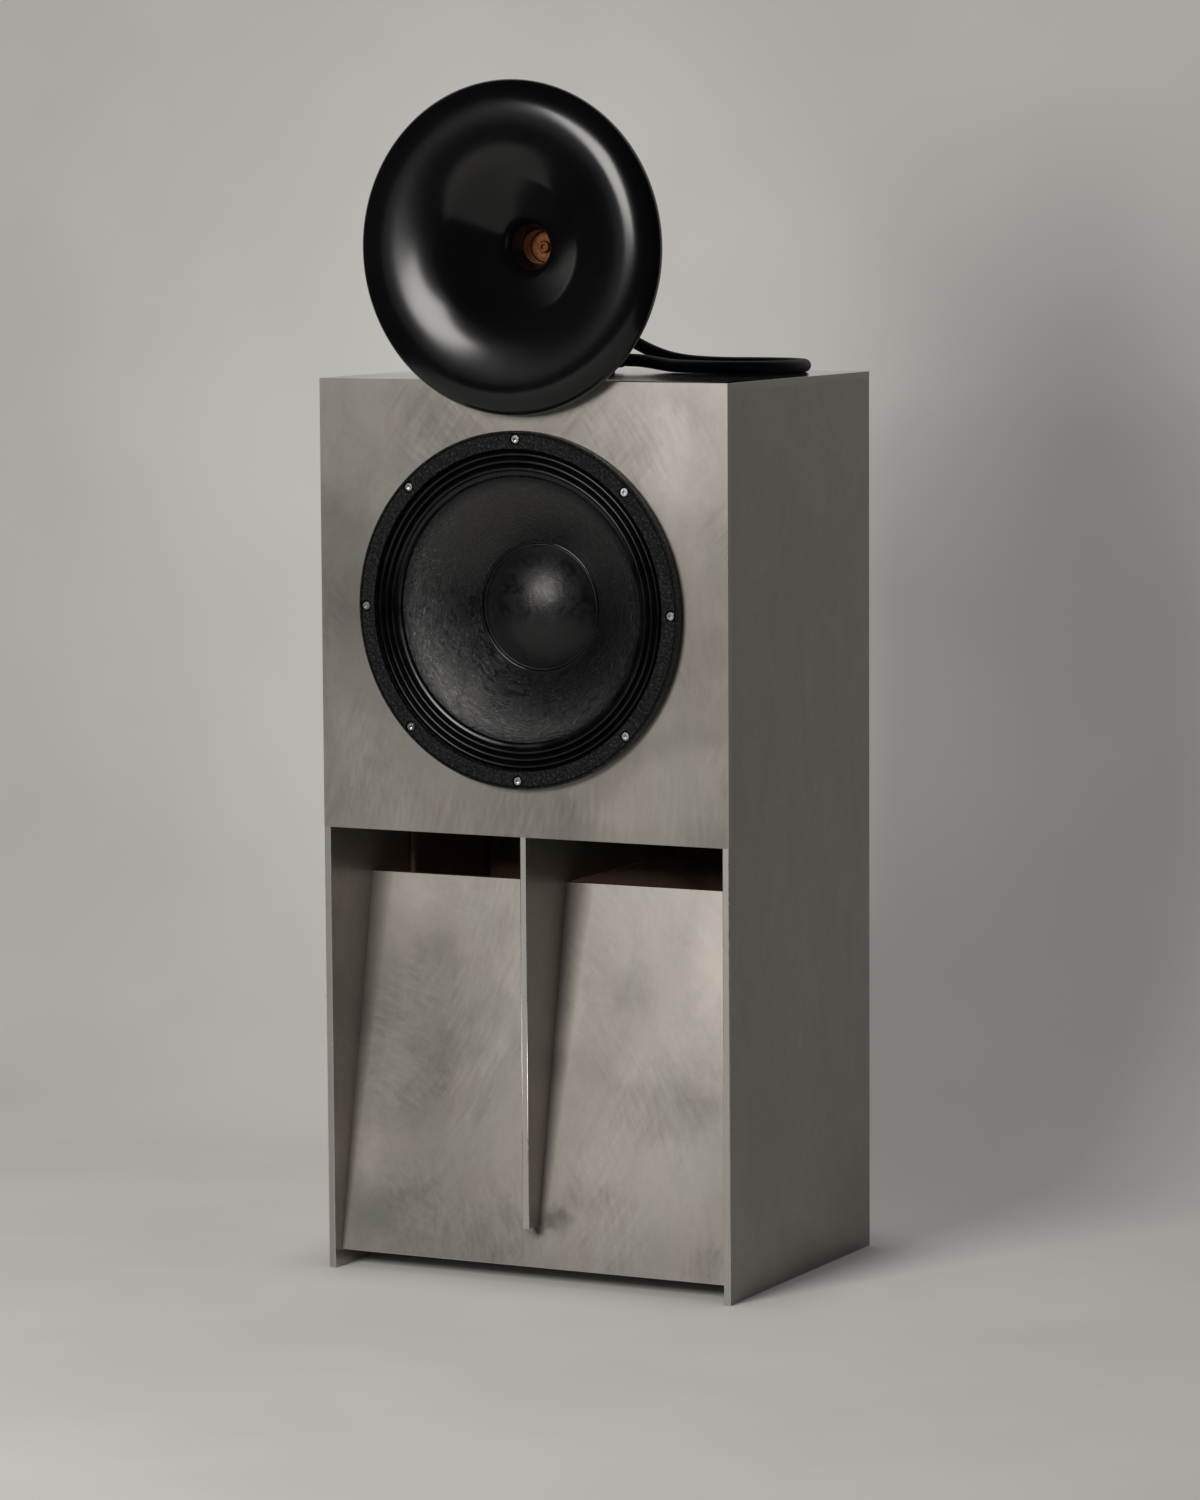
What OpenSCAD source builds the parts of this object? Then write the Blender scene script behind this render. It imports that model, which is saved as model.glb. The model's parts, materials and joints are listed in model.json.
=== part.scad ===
// Two way loudspeaker: an aluminium plate cabinet with a 15 inch woofer,
// a vent over a leaning ramp, and a round horn with a rolled back lip on top.
// Lengths are millimetres. Sizes along the depth are first measured from the
// front face of the baffle, y = 0, going back, and then the whole part is
// centred over its own footprint.

/* [Cabinet] */
// Width over the side plates
cab_w = 495; // [440:1:560]
// Depth from the baffle's face to the back
cab_d = 368; // [340:1:420]
// Height of the cabinet without the horn
cab_h = 990; // [940:1:1060]
// Thickness of every aluminium plate
plate_t = 8; // [6:0.5:10]
// Height of the square front baffle
baffle_h = 495; // [450:1:520]
// Height of the vent slot under the baffle
slot_h = 60; // [40:1:80]
// Gap under the ramp and the bottom plate
floor_gap = 18.5; // [12:0.5:26]
// How far the ramp's top edge lies behind the baffle's face
ramp_top_y = 95; // [80:1:120]
// How far the ramp's bottom edge lies behind the baffle's face
ramp_low_y = 14.5; // [8:0.5:30]
// Height of the fin's square lower end
fin_low = 63.5; // [40:0.5:90]
// Thickness of the felt lining
felt_t = 8; // [5:0.5:14]

/* [Woofer frame] */
// Outer diameter of the flange
flange_d = 388; // [384:1:392]
// Thickness of the flange
flange_t = 10.5; // [9:0.5:13]
// Thickness of the gasket behind the flange
gasket_t = 1.5; // [1:0.1:2.5]
// Diameter of the opening in the baffle
cutout_d = 352; // [351:0.5:354]
// Diameter of the circle of screws
screw_pcd = 370; // [369:0.5:371]
// Number of screws
screw_n = 8; // [4:4:8]
// Shank diameter of the screws
screw_d = 5; // [4:0.5:5]
// Inner diameter of the flange's front face
lip_d = 350; // [349.5:0.25:351]
// Width of one arm of the frame
arm_w = 24; // [18:1:30]
// Number of arms
arm_n = 8; // [6:1:8]

/* [Woofer moving parts] */
// Diameter of the cone at its rim
cone_d = 300; // [296:1:304]
// Depth of the cone from rim to neck
cone_depth = 68.5; // [58:0.5:70]
// How steep the cone is at its rim, as a share of its mean slope
cone_rim_slope = 0.45; // [0.3:0.05:1]
// Thickness of the cone's paper
cone_t = 1.2; // [1:0.1:1.6]
// Number of rolls in the surround
roll_n = 3; // [2:1:4]
// Height of the rolls
roll_h = 6; // [4:0.5:7]
// Thickness of the surround and the spider
cloth_t = 1; // [0.8:0.1:1.2]
// Diameter of the dust cap
cap_d = 138; // [120:1:150]
// Height of the dust cap's dome
cap_h = 26; // [18:1:30]
// Thickness of the dust cap
cap_t = 0.8; // [0.6:0.1:1.2]
// Diameter inside the voice coil's former
coil_d = 101.6; // [96:0.1:104]
// Travel of the cone each way
stroke = 8; // [5:0.5:9]

/* [Woofer motor] */
// Depth of the motor's front face behind the baffle's face
motor_y = 90; // [88:1:100]
// Outer diameter of the magnet
magnet_d = 210; // [200:1:220]
// Thickness of the magnet
magnet_t = 24; // [20:1:30]
// Thickness of the motor's steel plates
steel_t = 12; // [10:1:14]
// Diameter of the vent through the pole
vent_d = 28; // [16:1:36]

/* [Horn] */
// Diameter of the mouth at its widest
mouth_d = 359; // [340:1:380]
// Diameter of the ring where the lip faces straight ahead
crest_d = 290; // [270:1:300]
// Diameter of the throat
throat_d = 35.6; // [32:0.1:38]
// Depth from the crest to the throat's end
bell_depth = 84.5; // [82:0.5:88]
// Radius of the roll inside the crest
roll_radius = 141; // [130:1:150]
// Tilt at which the roll runs into the knee, in degrees
knee_tilt = 22.4; // [18:0.1:26]
// Radius of the knee between the roll and the flank
knee_radius = 67; // [55:1:80]
// Tilt of the straight flank, in degrees
flank_tilt = 38.4; // [34:0.1:42]
// Radius of the flare that turns the flank into the throat
flare_radius = 38; // [32:1:44]
// Tilt of the straight throat, in degrees
flare_tilt = 71.5; // [66:0.1:76]
// How far the lip's crest stands before its widest circle
lip_front = 20.5; // [16:0.5:30]
// How far the lip rolls back behind its widest circle
lip_back = 12; // [8:1:16]
// Gap from the lip's back edge to the baffle's plane
lip_gap = 6; // [3:0.5:12]
// Thickness of the horn's wall
horn_wall = 4; // [3:0.5:5]
// Height of the horn's axis over the top plate
horn_rise = 142.5; // [130:0.5:160]
// Diameter of the flange behind the bell
horn_flange_d = 124; // [120:1:130]
// Thickness of the flange behind the bell
horn_flange_t = 10; // [8:1:14]

/* [Horn driver and stand] */
// Thickness of the stand's plates
stand_t = 6; // [5:0.5:8]
// Width of the stand's foot
foot_w = 80; // [70:1:84]
// Depth of the stand's foot
foot_d = 86; // [76:1:90]
// Diameter of the driver
driver_d = 120; // [118:1:124]
// Thickness of the driver's front plate
driver_front_t = 12; // [10:1:14]
// Wall of the copper cup that lines the throat behind the horn
cup_t = 1.2; // [0.8:0.1:2]
// Diameter of the screw head on the cup's floor
plug_head_d = 13; // [10:0.5:15]
// Thickness of the driver's magnet
driver_magnet_t = 22; // [18:1:26]
// Thickness of the driver's rear plate
driver_rear_t = 8; // [6:1:10]
// Depth of the driver's rear cover
cover_d = 32; // [28:1:36]
// Wall of the driver's rear cover
cover_t = 3; // [2:0.5:4]
// Diameter of the circle of driver bolts
driver_pcd = 101.6; // [100:0.1:103]
// Shank diameter of the driver bolts
bolt_d = 6; // [5:0.5:6]
// Diameter of the diaphragm's dome
dome_d = 72; // [68:1:74]
// Travel of the diaphragm each way
dome_stroke = 0.4; // [0.2:0.1:0.5]

/* [Cable and terminals] */
// Diameter of the sleeved cable
cable_d = 14.5; // [12:0.5:16]
// Distance between the two rear terminals
post_pitch = 19; // [19:0.5:24]
// Height of the rear terminals over the floor
post_z = 120; // [90:1:200]
// Diameter of a terminal's stud
stud_d = 6.5; // [6:0.1:7]
// Diameter of the plug socket in each stud
socket_d = 4; // [3.8:0.1:4.2]
// Diameter of a terminal's knob
knob_d = 15; // [13:0.5:16]
// Length of a terminal's knob
knob_l = 16; // [12:0.5:18]

/* [Crossover] */
// Width of the crossover's board
board_w = 220; // [200:1:240]
// Height of the crossover's board
board_h = 150; // [140:1:170]
// Thickness of the crossover's board
board_t = 3; // [2:0.5:4]
// Height of the spacers behind the board
spacer_l = 9; // [6:1:14]
// Diameter of the spacers behind the board
spacer_d = 8; // [6:0.5:9]
// Outer diameter of an air core coil
air_coil_d = 68; // [56:1:76]
// Inner diameter of an air core coil
air_coil_core = 28; // [20:1:32]
// Length of an air core coil
air_coil_l = 26; // [18:1:30]
// Diameter of a capacitor
capacitor_d = 23; // [18:0.5:25]
// Length of a capacitor
capacitor_l = 50; // [40:1:54]

/* [Hidden] */

// Running and seating clearances
run_gap = 0.05;
seat_gap = 0.3;
hole_gap = 0.25;
weld_gap = 0.02;

// Cabinet levels and insides
baffle_low = cab_h - baffle_h;
ramp_high = baffle_low - slot_h;
inner_w = cab_w - 2 * plate_t;
inner_back = cab_d - plate_t;
inner_top = cab_h - plate_t;
ramp_slope = (ramp_top_y - ramp_low_y) / (ramp_high - floor_gap);
ramp_skin = plate_t * sqrt(1 + ramp_slope * ramp_slope);
felt_front = cab_d / 2 - plate_t;
felt_low = ramp_high - slot_h;

// Woofer levels
woofer_z = cab_h - baffle_h / 2;
flange_y = -gasket_t;
face_y = flange_y - flange_t;
ledge_y = face_y + roll_h + cloth_t + 0.5;
basket_r = cutout_d / 2 - 2.5;
basket_wall = 4;
basket_end = plate_t + 14;
pocket_r = screw_d * 0.85 + 2;
head_h = screw_d;
seat_t = 6;
seat_r = magnet_d / 2 - 5;
coil_r = coil_d / 2;
former_t = 0.8;
winding_t = 1.6;
gap_w = 1.2;
rim_y = ledge_y;
neck_y = rim_y + cone_depth;
neck_r = coil_r + former_t + seat_gap;
spider_rise = 2;
spider_y = neck_y + stroke + spider_rise - 1;
spider_r = seat_r - 12;
roll_in = cone_d / 2;
foot_l = 5;
roll_out = lip_d / 2 - 2;
cap_y = cone_y(cap_d / 2) - cap_t;
cone_skin = cone_t * sqrt(1 + pow(cone_depth / (cone_d / 2 - neck_r), 2));
pole_r = coil_r - gap_w;
gap_r = coil_r + former_t + winding_t + gap_w;
winding_l = steel_t + 6;
coil_mid = motor_y + steel_t / 2;

// Horn levels
widest_y = -lip_gap - lip_back;
crest_y = widest_y - lip_front;
throat_y = crest_y + bell_depth;
horn_z = cab_h + horn_rise;
throat_r = throat_d / 2;
crest_r = crest_d / 2;
lip_w = (mouth_d - crest_d) / 2;
driver_y = throat_y + stand_t;
magnet_y = driver_y + driver_front_t;
rear_y = magnet_y + driver_magnet_t;
cover_y = rear_y + driver_rear_t;
cover_end = cover_y + cover_d;
plug_tip_y = magnet_y;
dome_r = dome_d / 2;
dome_t = 1;
dome_gap = dome_stroke + 0.5;
dome_h = 12;
rim_t = 0.8;
boot_x = -26;
boot_z = horn_z - 28;
boot_l = 32;

// Rear terminals
bush_t = 3;
stud_end = cab_d + bush_t + seat_gap + knob_l + 2.7;

// The part is centred front to back over its own footprint
mid_y = (crest_y + stud_end) / 2;

// Cable route: from the driver's boot, round on the top plate, to the elbow
elbow_x = -42;
elbow_y = 280;
elbow_z = cab_h + 12.5;
elbow_end = -16;
cable_route = [
    [-26, 158, 1104.5], [-26, 170, 1104.5], [-27, 187, 1102], [-30, 205, 1095], [-34, 223, 1085],
    [-38, 242, 1073], [-40, 261, 1060], [-38, 280, 1047], [-30, 297, 1034], [-16, 311, 1021.5],
    [2, 320, 1011], [20, 327, 1004], [40, 334, 1000], [62, 341, 998.2], [87, 347, 997.4],
    [112, 350.5, 997.4], [137.5, 351, 997.4], [160.5, 346.4, 997.4], [179.9, 333.4, 997.4],
    [192.9, 314, 997.4], [197.5, 291, 997.4], [192.9, 268, 997.4], [179.9, 248.6, 997.4],
    [160.5, 235.6, 997.4], [137.5, 231, 997.4], [117, 233.5, 997.4], [97, 239.8, 997.4],
    [77, 248.6, 997.4], [57, 258.3, 997.6], [38, 267.2, 999.1], [22, 273.5, 1000.8], [6, 278, 1002.1],
    [-6, 279.8, 1002.4], [-16, 280, 1002.5]
];

$fn = 96;

// y of the cone's front face at a radius: flatter at its rim, steeper at its neck
function cone_y(r) = let (x = (cone_d / 2 - r) / (cone_d / 2 - neck_r))
    rim_y + cone_depth * (cone_rim_slope * x + (1 - cone_rim_slope) * x * x);

// y of the ramp's front face at a height
function ramp_y(z) = ramp_low_y + (z - floor_gap) * ramp_slope;
function ramp_rear(z) = ramp_y(z) + ramp_skin;

// Places the whole part over the middle of its footprint
module placed() {
    translate([0, -mid_y, 0]) children();
}

// Turns a shape drawn along z so that it runs back along y, on an axis at a height
module along_y(z) {
    translate([0, 0, z]) rotate([-90, 0, 0]) children();
}

// A round piece turned about the y axis from points of radius and depth
module turned(z, points) {
    along_y(z) rotate_extrude() polygon(points);
}

// A plate whose outline is given by points of depth and height
module side_profile(width, points) {
    translate([-width / 2, 0, 0]) rotate([90, 0, 90]) linear_extrude(width) polygon(points);
}

// Copies on a circle about an axis along z
module ring_of(count, pcd, first = 0) {
    for (i = [0 : count - 1]) {
        rotate([0, 0, first + i * 360 / count]) translate([pcd / 2, 0, 0]) children();
    }
}

// A socket head screw, head down to z = 0 and shank towards +z
module socket_screw(d, length) {
    difference() {
        union() {
            translate([0, 0, -d]) cylinder(h = d, d = d * 1.7, $fn = 32);
            cylinder(h = length, d = d, $fn = 32);
        }
        translate([0, 0, -d - 0.1]) cylinder(h = d * 0.55, d = d * 0.92, $fn = 6);
    }
}

// Cabinet

module side_plate() {
    side_profile(plate_t, [
        [0, 0], [cab_d, 0], [cab_d, inner_top], [plate_t, inner_top],
        [plate_t, baffle_low], [0, baffle_low]
    ]);
}

module side_plate_left() {
    color("silver") placed() translate([-(cab_w - plate_t) / 2, 0, 0]) side_plate();
}

module side_plate_right() {
    color("silver") placed() translate([(cab_w - plate_t) / 2, 0, 0]) side_plate();
}

module top_plate() {
    color("silver") placed() difference() {
        translate([-cab_w / 2, plate_t, inner_top]) cube([cab_w, cab_d - plate_t, plate_t]);
        translate([0, 0, inner_top - 1]) foot_holes(bolt_d, plate_t + 2);
        translate([elbow_x, elbow_y, inner_top - 1]) cylinder(h = plate_t + 2, d = cable_d + 6);
    }
}

module back_plate() {
    color("silver") placed() difference() {
        translate([-inner_w / 2, inner_back, floor_gap]) {
            cube([inner_w, plate_t, inner_top - floor_gap]);
        }
        for (side = [-1, 1]) {
            translate([side * post_pitch / 2, inner_back - 1, 0]) {
                along_y(post_z) cylinder(h = plate_t + 2, d = stud_d + 4, $fn = 48);
            }
        }
    }
}

module front_baffle() {
    color("silver") placed() difference() {
        translate([-cab_w / 2, 0, baffle_low]) cube([cab_w, plate_t, baffle_h]);
        translate([0, -1, 0]) along_y(woofer_z) {
            cylinder(h = plate_t + 2, d = cutout_d);
            ring_of(screw_n, screw_pcd) cylinder(h = plate_t + 2, d = screw_d + hole_gap, $fn = 32);
        }
    }
}

module bottom_plate() {
    color("silver") placed() side_profile(inner_w, [
        [ramp_rear(floor_gap) + weld_gap, floor_gap], [inner_back, floor_gap],
        [inner_back, floor_gap + plate_t], [ramp_rear(floor_gap + plate_t) + weld_gap, floor_gap + plate_t]
    ]);
}

module ramp_panel() {
    color("silver") placed() side_profile(inner_w, [
        [ramp_y(floor_gap), floor_gap], [ramp_rear(floor_gap), floor_gap],
        [ramp_rear(ramp_high), ramp_high], [ramp_y(ramp_high), ramp_high]
    ]);
}

module centre_fin() {
    color("silver") placed() side_profile(plate_t, [
        [0, fin_low], [ramp_y(fin_low) - weld_gap, fin_low],
        [ramp_y(ramp_high + weld_gap) - weld_gap, ramp_high + weld_gap],
        [inner_back, ramp_high + weld_gap], [inner_back, baffle_low], [0, baffle_low]
    ]);
}

module damping_left() {
    color("dimgray") placed() side_felt(-1);
}

module damping_right() {
    color("dimgray") placed() side_felt(1);
}

module side_felt(side) {
    translate([side * (inner_w - felt_t) / 2 - felt_t / 2, felt_front, felt_low]) {
        cube([felt_t, inner_back - felt_front, inner_top - felt_low - felt_t]);
    }
}

module damping_back() {
    color("dimgray") placed() difference() {
        translate([-inner_w / 2 + felt_t, inner_back - felt_t, felt_low]) {
            cube([inner_w - 2 * felt_t, felt_t, inner_top - felt_low - felt_t]);
        }
        translate([-plate_t / 2 - 2, inner_back - felt_t - 1, ramp_high - 1]) {
            cube([plate_t + 4, felt_t + 2, slot_h + 3]);
        }
    }
}

// Woofer

module woofer_frame() {
    color("#1c1c1d") placed() difference() {
        along_y(woofer_z) {
            rotate_extrude() polygon([
                [lip_d / 2, face_y], [flange_d / 2 - 1, face_y], [flange_d / 2, face_y + 1],
                [flange_d / 2, flange_y], [basket_r, flange_y], [basket_r, basket_end],
                [basket_r - basket_wall, basket_end], [basket_r - basket_wall, ledge_y],
                [lip_d / 2, ledge_y]
            ]);
            rotate_extrude() polygon([
                [gap_r + 4, motor_y - seat_t], [spider_r - 4, motor_y - seat_t],
                [spider_r - 4, spider_y + cloth_t], [spider_r + 5, spider_y + cloth_t],
                [spider_r + 8, motor_y - seat_t], [seat_r, motor_y - seat_t],
                [seat_r, motor_y], [gap_r + 4, motor_y]
            ]);
            ring_of(arm_n, 0, 180 / arm_n) frame_arm();
        }
        along_y(woofer_z) ring_of(screw_n, screw_pcd) {
            translate([0, 0, face_y - 1]) cylinder(h = head_h + 1, r = pocket_r, $fn = 32);
            translate([0, 0, face_y]) cylinder(h = flange_t + 1, d = screw_d + hole_gap, $fn = 32);
        }
    }
}

// One arm of the frame, from the front wall down to the motor's seat
module frame_arm() {
    rotate([90, 0, 0]) linear_extrude(arm_w, center = true) polygon([
        [basket_r - 1, basket_end - 10], [basket_r - 1, basket_end + 4],
        [seat_r - 1, motor_y - 1], [spider_r + 6, motor_y - 1],
        [spider_r + 6, motor_y - seat_t - 6], [basket_r - basket_wall + 0.5, basket_end - 10]
    ]);
}

module woofer_gasket() {
    color("#101010") placed() difference() {
        turned(woofer_z, [
            [cutout_d / 2, flange_y], [flange_d / 2 - 2, flange_y],
            [flange_d / 2 - 2, 0], [cutout_d / 2, 0]
        ]);
        translate([0, flange_y - 1, 0]) along_y(woofer_z) {
            ring_of(screw_n, screw_pcd) cylinder(h = gasket_t + 2, d = screw_d + hole_gap, $fn = 32);
        }
    }
}

module woofer_screws() {
    color("gainsboro") placed() along_y(woofer_z) {
        ring_of(screw_n, screw_pcd) translate([0, 0, face_y + head_h]) {
            socket_screw(screw_d, flange_t - head_h + gasket_t + plate_t);
        }
    }
}

module woofer_cone() {
    steps = 12;
    foot_r = roll_in - foot_l;
    front = [for (i = [0 : steps]) let (r = foot_r - 0.5 + (neck_r - foot_r + 0.5) * i / steps)
        [r, cone_y(r)]];
    back = [for (i = [steps : -1 : 0]) [front[i][0], front[i][1] + cone_skin]];
    color("#161617") placed() turned(woofer_z, concat(
        [[roll_in, rim_y], [foot_r, rim_y]], front, back, [[roll_in, rim_y + cone_skin]]
    ));
}

module dust_cap() {
    // The dome is a part of a sphere through its rim and its top
    ball_r = (cap_d * cap_d / 4 + cap_h * cap_h) / (2 * cap_h);
    half = asin(cap_d / 2 / ball_r);
    steps = 10;
    front = [for (i = [0 : steps]) let (a = half * i / steps)
        [ball_r * sin(a), cap_y - cap_h + ball_r * (1 - cos(a))]];
    back = [for (i = [steps : -1 : 0]) let (a = half * i / steps)
        [(ball_r - cap_t) * sin(a), cap_y - cap_h + ball_r - (ball_r - cap_t) * cos(a)]];
    color("#1a1a1b") placed() turned(woofer_z, concat(front, back));
}

module woofer_surround() {
    steps = roll_n * 8;
    front = [for (i = [0 : steps]) let (r = roll_in + (roll_out - roll_in) * i / steps)
        [r, rim_y - cloth_t - roll_h * pow(sin(180 * roll_n * i / steps), 2)]];
    back = [for (i = [steps : -1 : 0]) [front[i][0], front[i][1] + cloth_t]];
    foot_in = [[roll_in - foot_l, rim_y], [roll_in - foot_l, rim_y - cloth_t]];
    foot_out = [[lip_d / 2, rim_y - cloth_t], [lip_d / 2, rim_y]];
    color("#121213") placed() turned(woofer_z, concat(foot_in, front, foot_out, back));
}

module woofer_spider() {
    steps = 24;
    front = [for (i = [0 : steps]) let (r = neck_r + 0.2 + (spider_r - neck_r) * i / steps)
        [r, spider_y - spider_rise * pow(sin(180 * 4 * i / steps), 2)]];
    back = [for (i = [steps : -1 : 0]) [front[i][0], front[i][1] + cloth_t]];
    foot = [[spider_r + 5, spider_y], [spider_r + 5, spider_y + cloth_t]];
    color("#8a6f3c") placed() turned(woofer_z, concat(front, foot, back));
}

module voice_coil() {
    color("#b06a3a") placed() turned(woofer_z, [
        [coil_r, neck_y - 2], [coil_r + former_t, neck_y - 2],
        [coil_r + former_t, coil_mid - winding_l / 2],
        [coil_r + former_t + winding_t, coil_mid - winding_l / 2],
        [coil_r + former_t + winding_t, coil_mid + winding_l / 2],
        [coil_r, coil_mid + winding_l / 2]
    ]);
}

module woofer_front_plate() {
    color("#2a2b2c") placed() turned(woofer_z, [
        [gap_r, motor_y], [seat_r, motor_y], [seat_r, motor_y + steel_t], [gap_r, motor_y + steel_t]
    ]);
}

module woofer_magnet() {
    y0 = motor_y + steel_t;
    color("#222222") placed() turned(woofer_z, [
        [gap_r + 8, y0], [magnet_d / 2, y0], [magnet_d / 2, y0 + magnet_t], [gap_r + 8, y0 + magnet_t]
    ]);
}

module woofer_yoke() {
    y0 = motor_y + steel_t + magnet_t;
    color("#2a2b2c") placed() turned(woofer_z, [
        [vent_d / 2, motor_y - 2], [pole_r, motor_y - 2], [pole_r, y0],
        [seat_r, y0], [seat_r, y0 + steel_t], [vent_d / 2, y0 + steel_t]
    ]);
}

module woofer_terminals() {
    color("#3a2a20") placed() difference() {
        translate([-14, motor_y - seat_t, woofer_z - seat_r - 12]) cube([28, seat_t, 24]);
        translate([0, motor_y - seat_t - 1, 0]) along_y(woofer_z) cylinder(h = seat_t + 2, r = seat_r);
    }
}

// Horn

// From the crest inward the bell is a roll, a tighter knee, a straight flank, a
// flare and a straight throat, each tangent to the one before. The lip goes on
// from the crest as a quarter ellipse round its widest circle and back
function bend_from(at, radius, from, to, steps) = [
    for (i = [1 : steps]) let (a = from + (to - from) * i / steps)
        at + radius * [sin(from) - sin(a), cos(from) - cos(a)]
];
function lip_point(a) = [crest_r + lip_w * sin(a), widest_y - lip_front * cos(a)];
function unit(v) = v / norm(v);
function inward(p, q) = let (t = unit(q - p)) [t[1], -t[0]];

module horn() {
    lip_steps = 12;
    lip_end_a = 90 + asin(lip_back / lip_front);
    roll = bend_from([crest_r, crest_y], roll_radius, 0, knee_tilt, 6);
    knee = bend_from(roll[5], knee_radius, knee_tilt, flank_tilt, 4);
    // The flank ends where flare and throat just reach the throat's end
    flare_w = flare_radius * (sin(flare_tilt) - sin(flank_tilt));
    flare_h = flare_radius * (cos(flank_tilt) - cos(flare_tilt));
    left_h = throat_y - knee[3][1] - flare_h;
    waist_r = (left_h - knee[3][0] * tan(flank_tilt) + (flare_w + throat_r) * tan(flare_tilt))
        / (tan(flare_tilt) - tan(flank_tilt));
    waist = [waist_r, knee[3][1] + (knee[3][0] - waist_r) * tan(flank_tilt)];
    flare = bend_from(waist, flare_radius, flank_tilt, flare_tilt, 6);
    bell = concat([[crest_r, crest_y]], roll, knee, [waist], flare, [[throat_r, throat_y]]);
    line = concat(
        [for (i = [len(bell) - 1 : -1 : 0]) bell[i]],
        [for (i = [1 : lip_steps]) lip_point(lip_end_a * i / lip_steps)]
    );
    last = len(line) - 1;
    shell = [for (i = [last : -1 : 1])
        line[i] - horn_wall * inward(line[i - 1], line[min(i + 1, last)])];
    flange_y0 = throat_y - horn_flange_t;
    color("#0f0f10") placed() difference() {
        along_y(horn_z) {
            rotate_extrude() polygon(concat(line, shell, [[throat_r + horn_wall, throat_y]]));
            rotate_extrude() polygon([
                [throat_r + horn_flange_t / tan(flare_tilt) + horn_wall / 2, flange_y0],
                [horn_flange_d / 2, flange_y0], [horn_flange_d / 2, throat_y],
                [throat_r + horn_wall / 2, throat_y]
            ]);
        }
        translate([0, flange_y0 - 1, 0]) along_y(horn_z) {
            ring_of(4, driver_pcd, 45) cylinder(h = horn_flange_t + 2, d = bolt_d + hole_gap, $fn = 32);
        }
    }
}

// Screw holes in the stand's foot, along z
module foot_holes(d, h) {
    for (x = [-1, 1], y = [0, 1]) {
        translate([x * (foot_w / 2 - 12), throat_y + 22 + y * (foot_d - 34), 0]) {
            cylinder(h = h, d = d + hole_gap, $fn = 32);
        }
    }
}

module horn_stand() {
    gusset_h = horn_rise - driver_d / 2 - stand_t - 6;
    color("#202122") placed() {
        difference() {
            translate([0, throat_y, 0]) union() {
                along_y(horn_z) cylinder(h = stand_t, d = horn_flange_d);
                translate([-foot_w / 2, 0, cab_h]) cube([foot_w, stand_t, horn_rise]);
            }
            translate([0, throat_y - 1, 0]) along_y(horn_z) {
                cylinder(h = stand_t + 2, d = throat_d + 2 * cup_t);
                ring_of(4, driver_pcd, 45) cylinder(h = stand_t + 2, d = bolt_d + hole_gap, $fn = 32);
            }
        }
        difference() {
            translate([-foot_w / 2, throat_y, cab_h]) cube([foot_w, foot_d, stand_t]);
            translate([0, 0, cab_h - 1]) foot_holes(bolt_d, stand_t + 2);
        }
        for (side = [-1, 1]) {
            translate([side * (foot_w - stand_t) / 2, 0, 0]) side_profile(stand_t, [
                [throat_y + stand_t - 0.5, cab_h + stand_t - 0.5],
                [throat_y + foot_d - 6, cab_h + stand_t - 0.5],
                [throat_y + stand_t - 0.5, cab_h + stand_t + gusset_h]
            ]);
        }
    }
}

module stand_screws() {
    color("gainsboro") placed() {
        for (x = [-1, 1], y = [0, 1]) {
            translate([x * (foot_w / 2 - 12), throat_y + 22 + y * (foot_d - 34), cab_h + stand_t]) {
                rotate([180, 0, 0]) socket_screw(bolt_d, stand_t + plate_t);
            }
        }
    }
}

module driver_bolts() {
    color("gainsboro") placed() along_y(horn_z) {
        ring_of(4, driver_pcd, 45) translate([0, 0, throat_y - horn_flange_t]) {
            socket_screw(bolt_d, horn_flange_t + stand_t + driver_front_t - 3);
        }
    }
}

// Driver behind the horn

module driver_front_plate() {
    bore_r = throat_r + cup_t;
    step_r = throat_r + 4;
    color("#8d8a86") placed() difference() {
        turned(horn_z, [
            [bore_r, driver_y], [driver_d / 2, driver_y], [driver_d / 2, magnet_y],
            [dome_r - 0.7, magnet_y], [dome_r - 0.7, cover_y - 0.5], [dome_r - 3, cover_y - 0.5],
            [step_r, magnet_y + 1], [step_r, magnet_y - 1], [bore_r, magnet_y - 1]
        ]);
        translate([0, driver_y - 1, 0]) along_y(horn_z) {
            ring_of(4, driver_pcd, 45) cylinder(h = driver_front_t - 1, d = bolt_d + hole_gap, $fn = 32);
        }
    }
}

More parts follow.
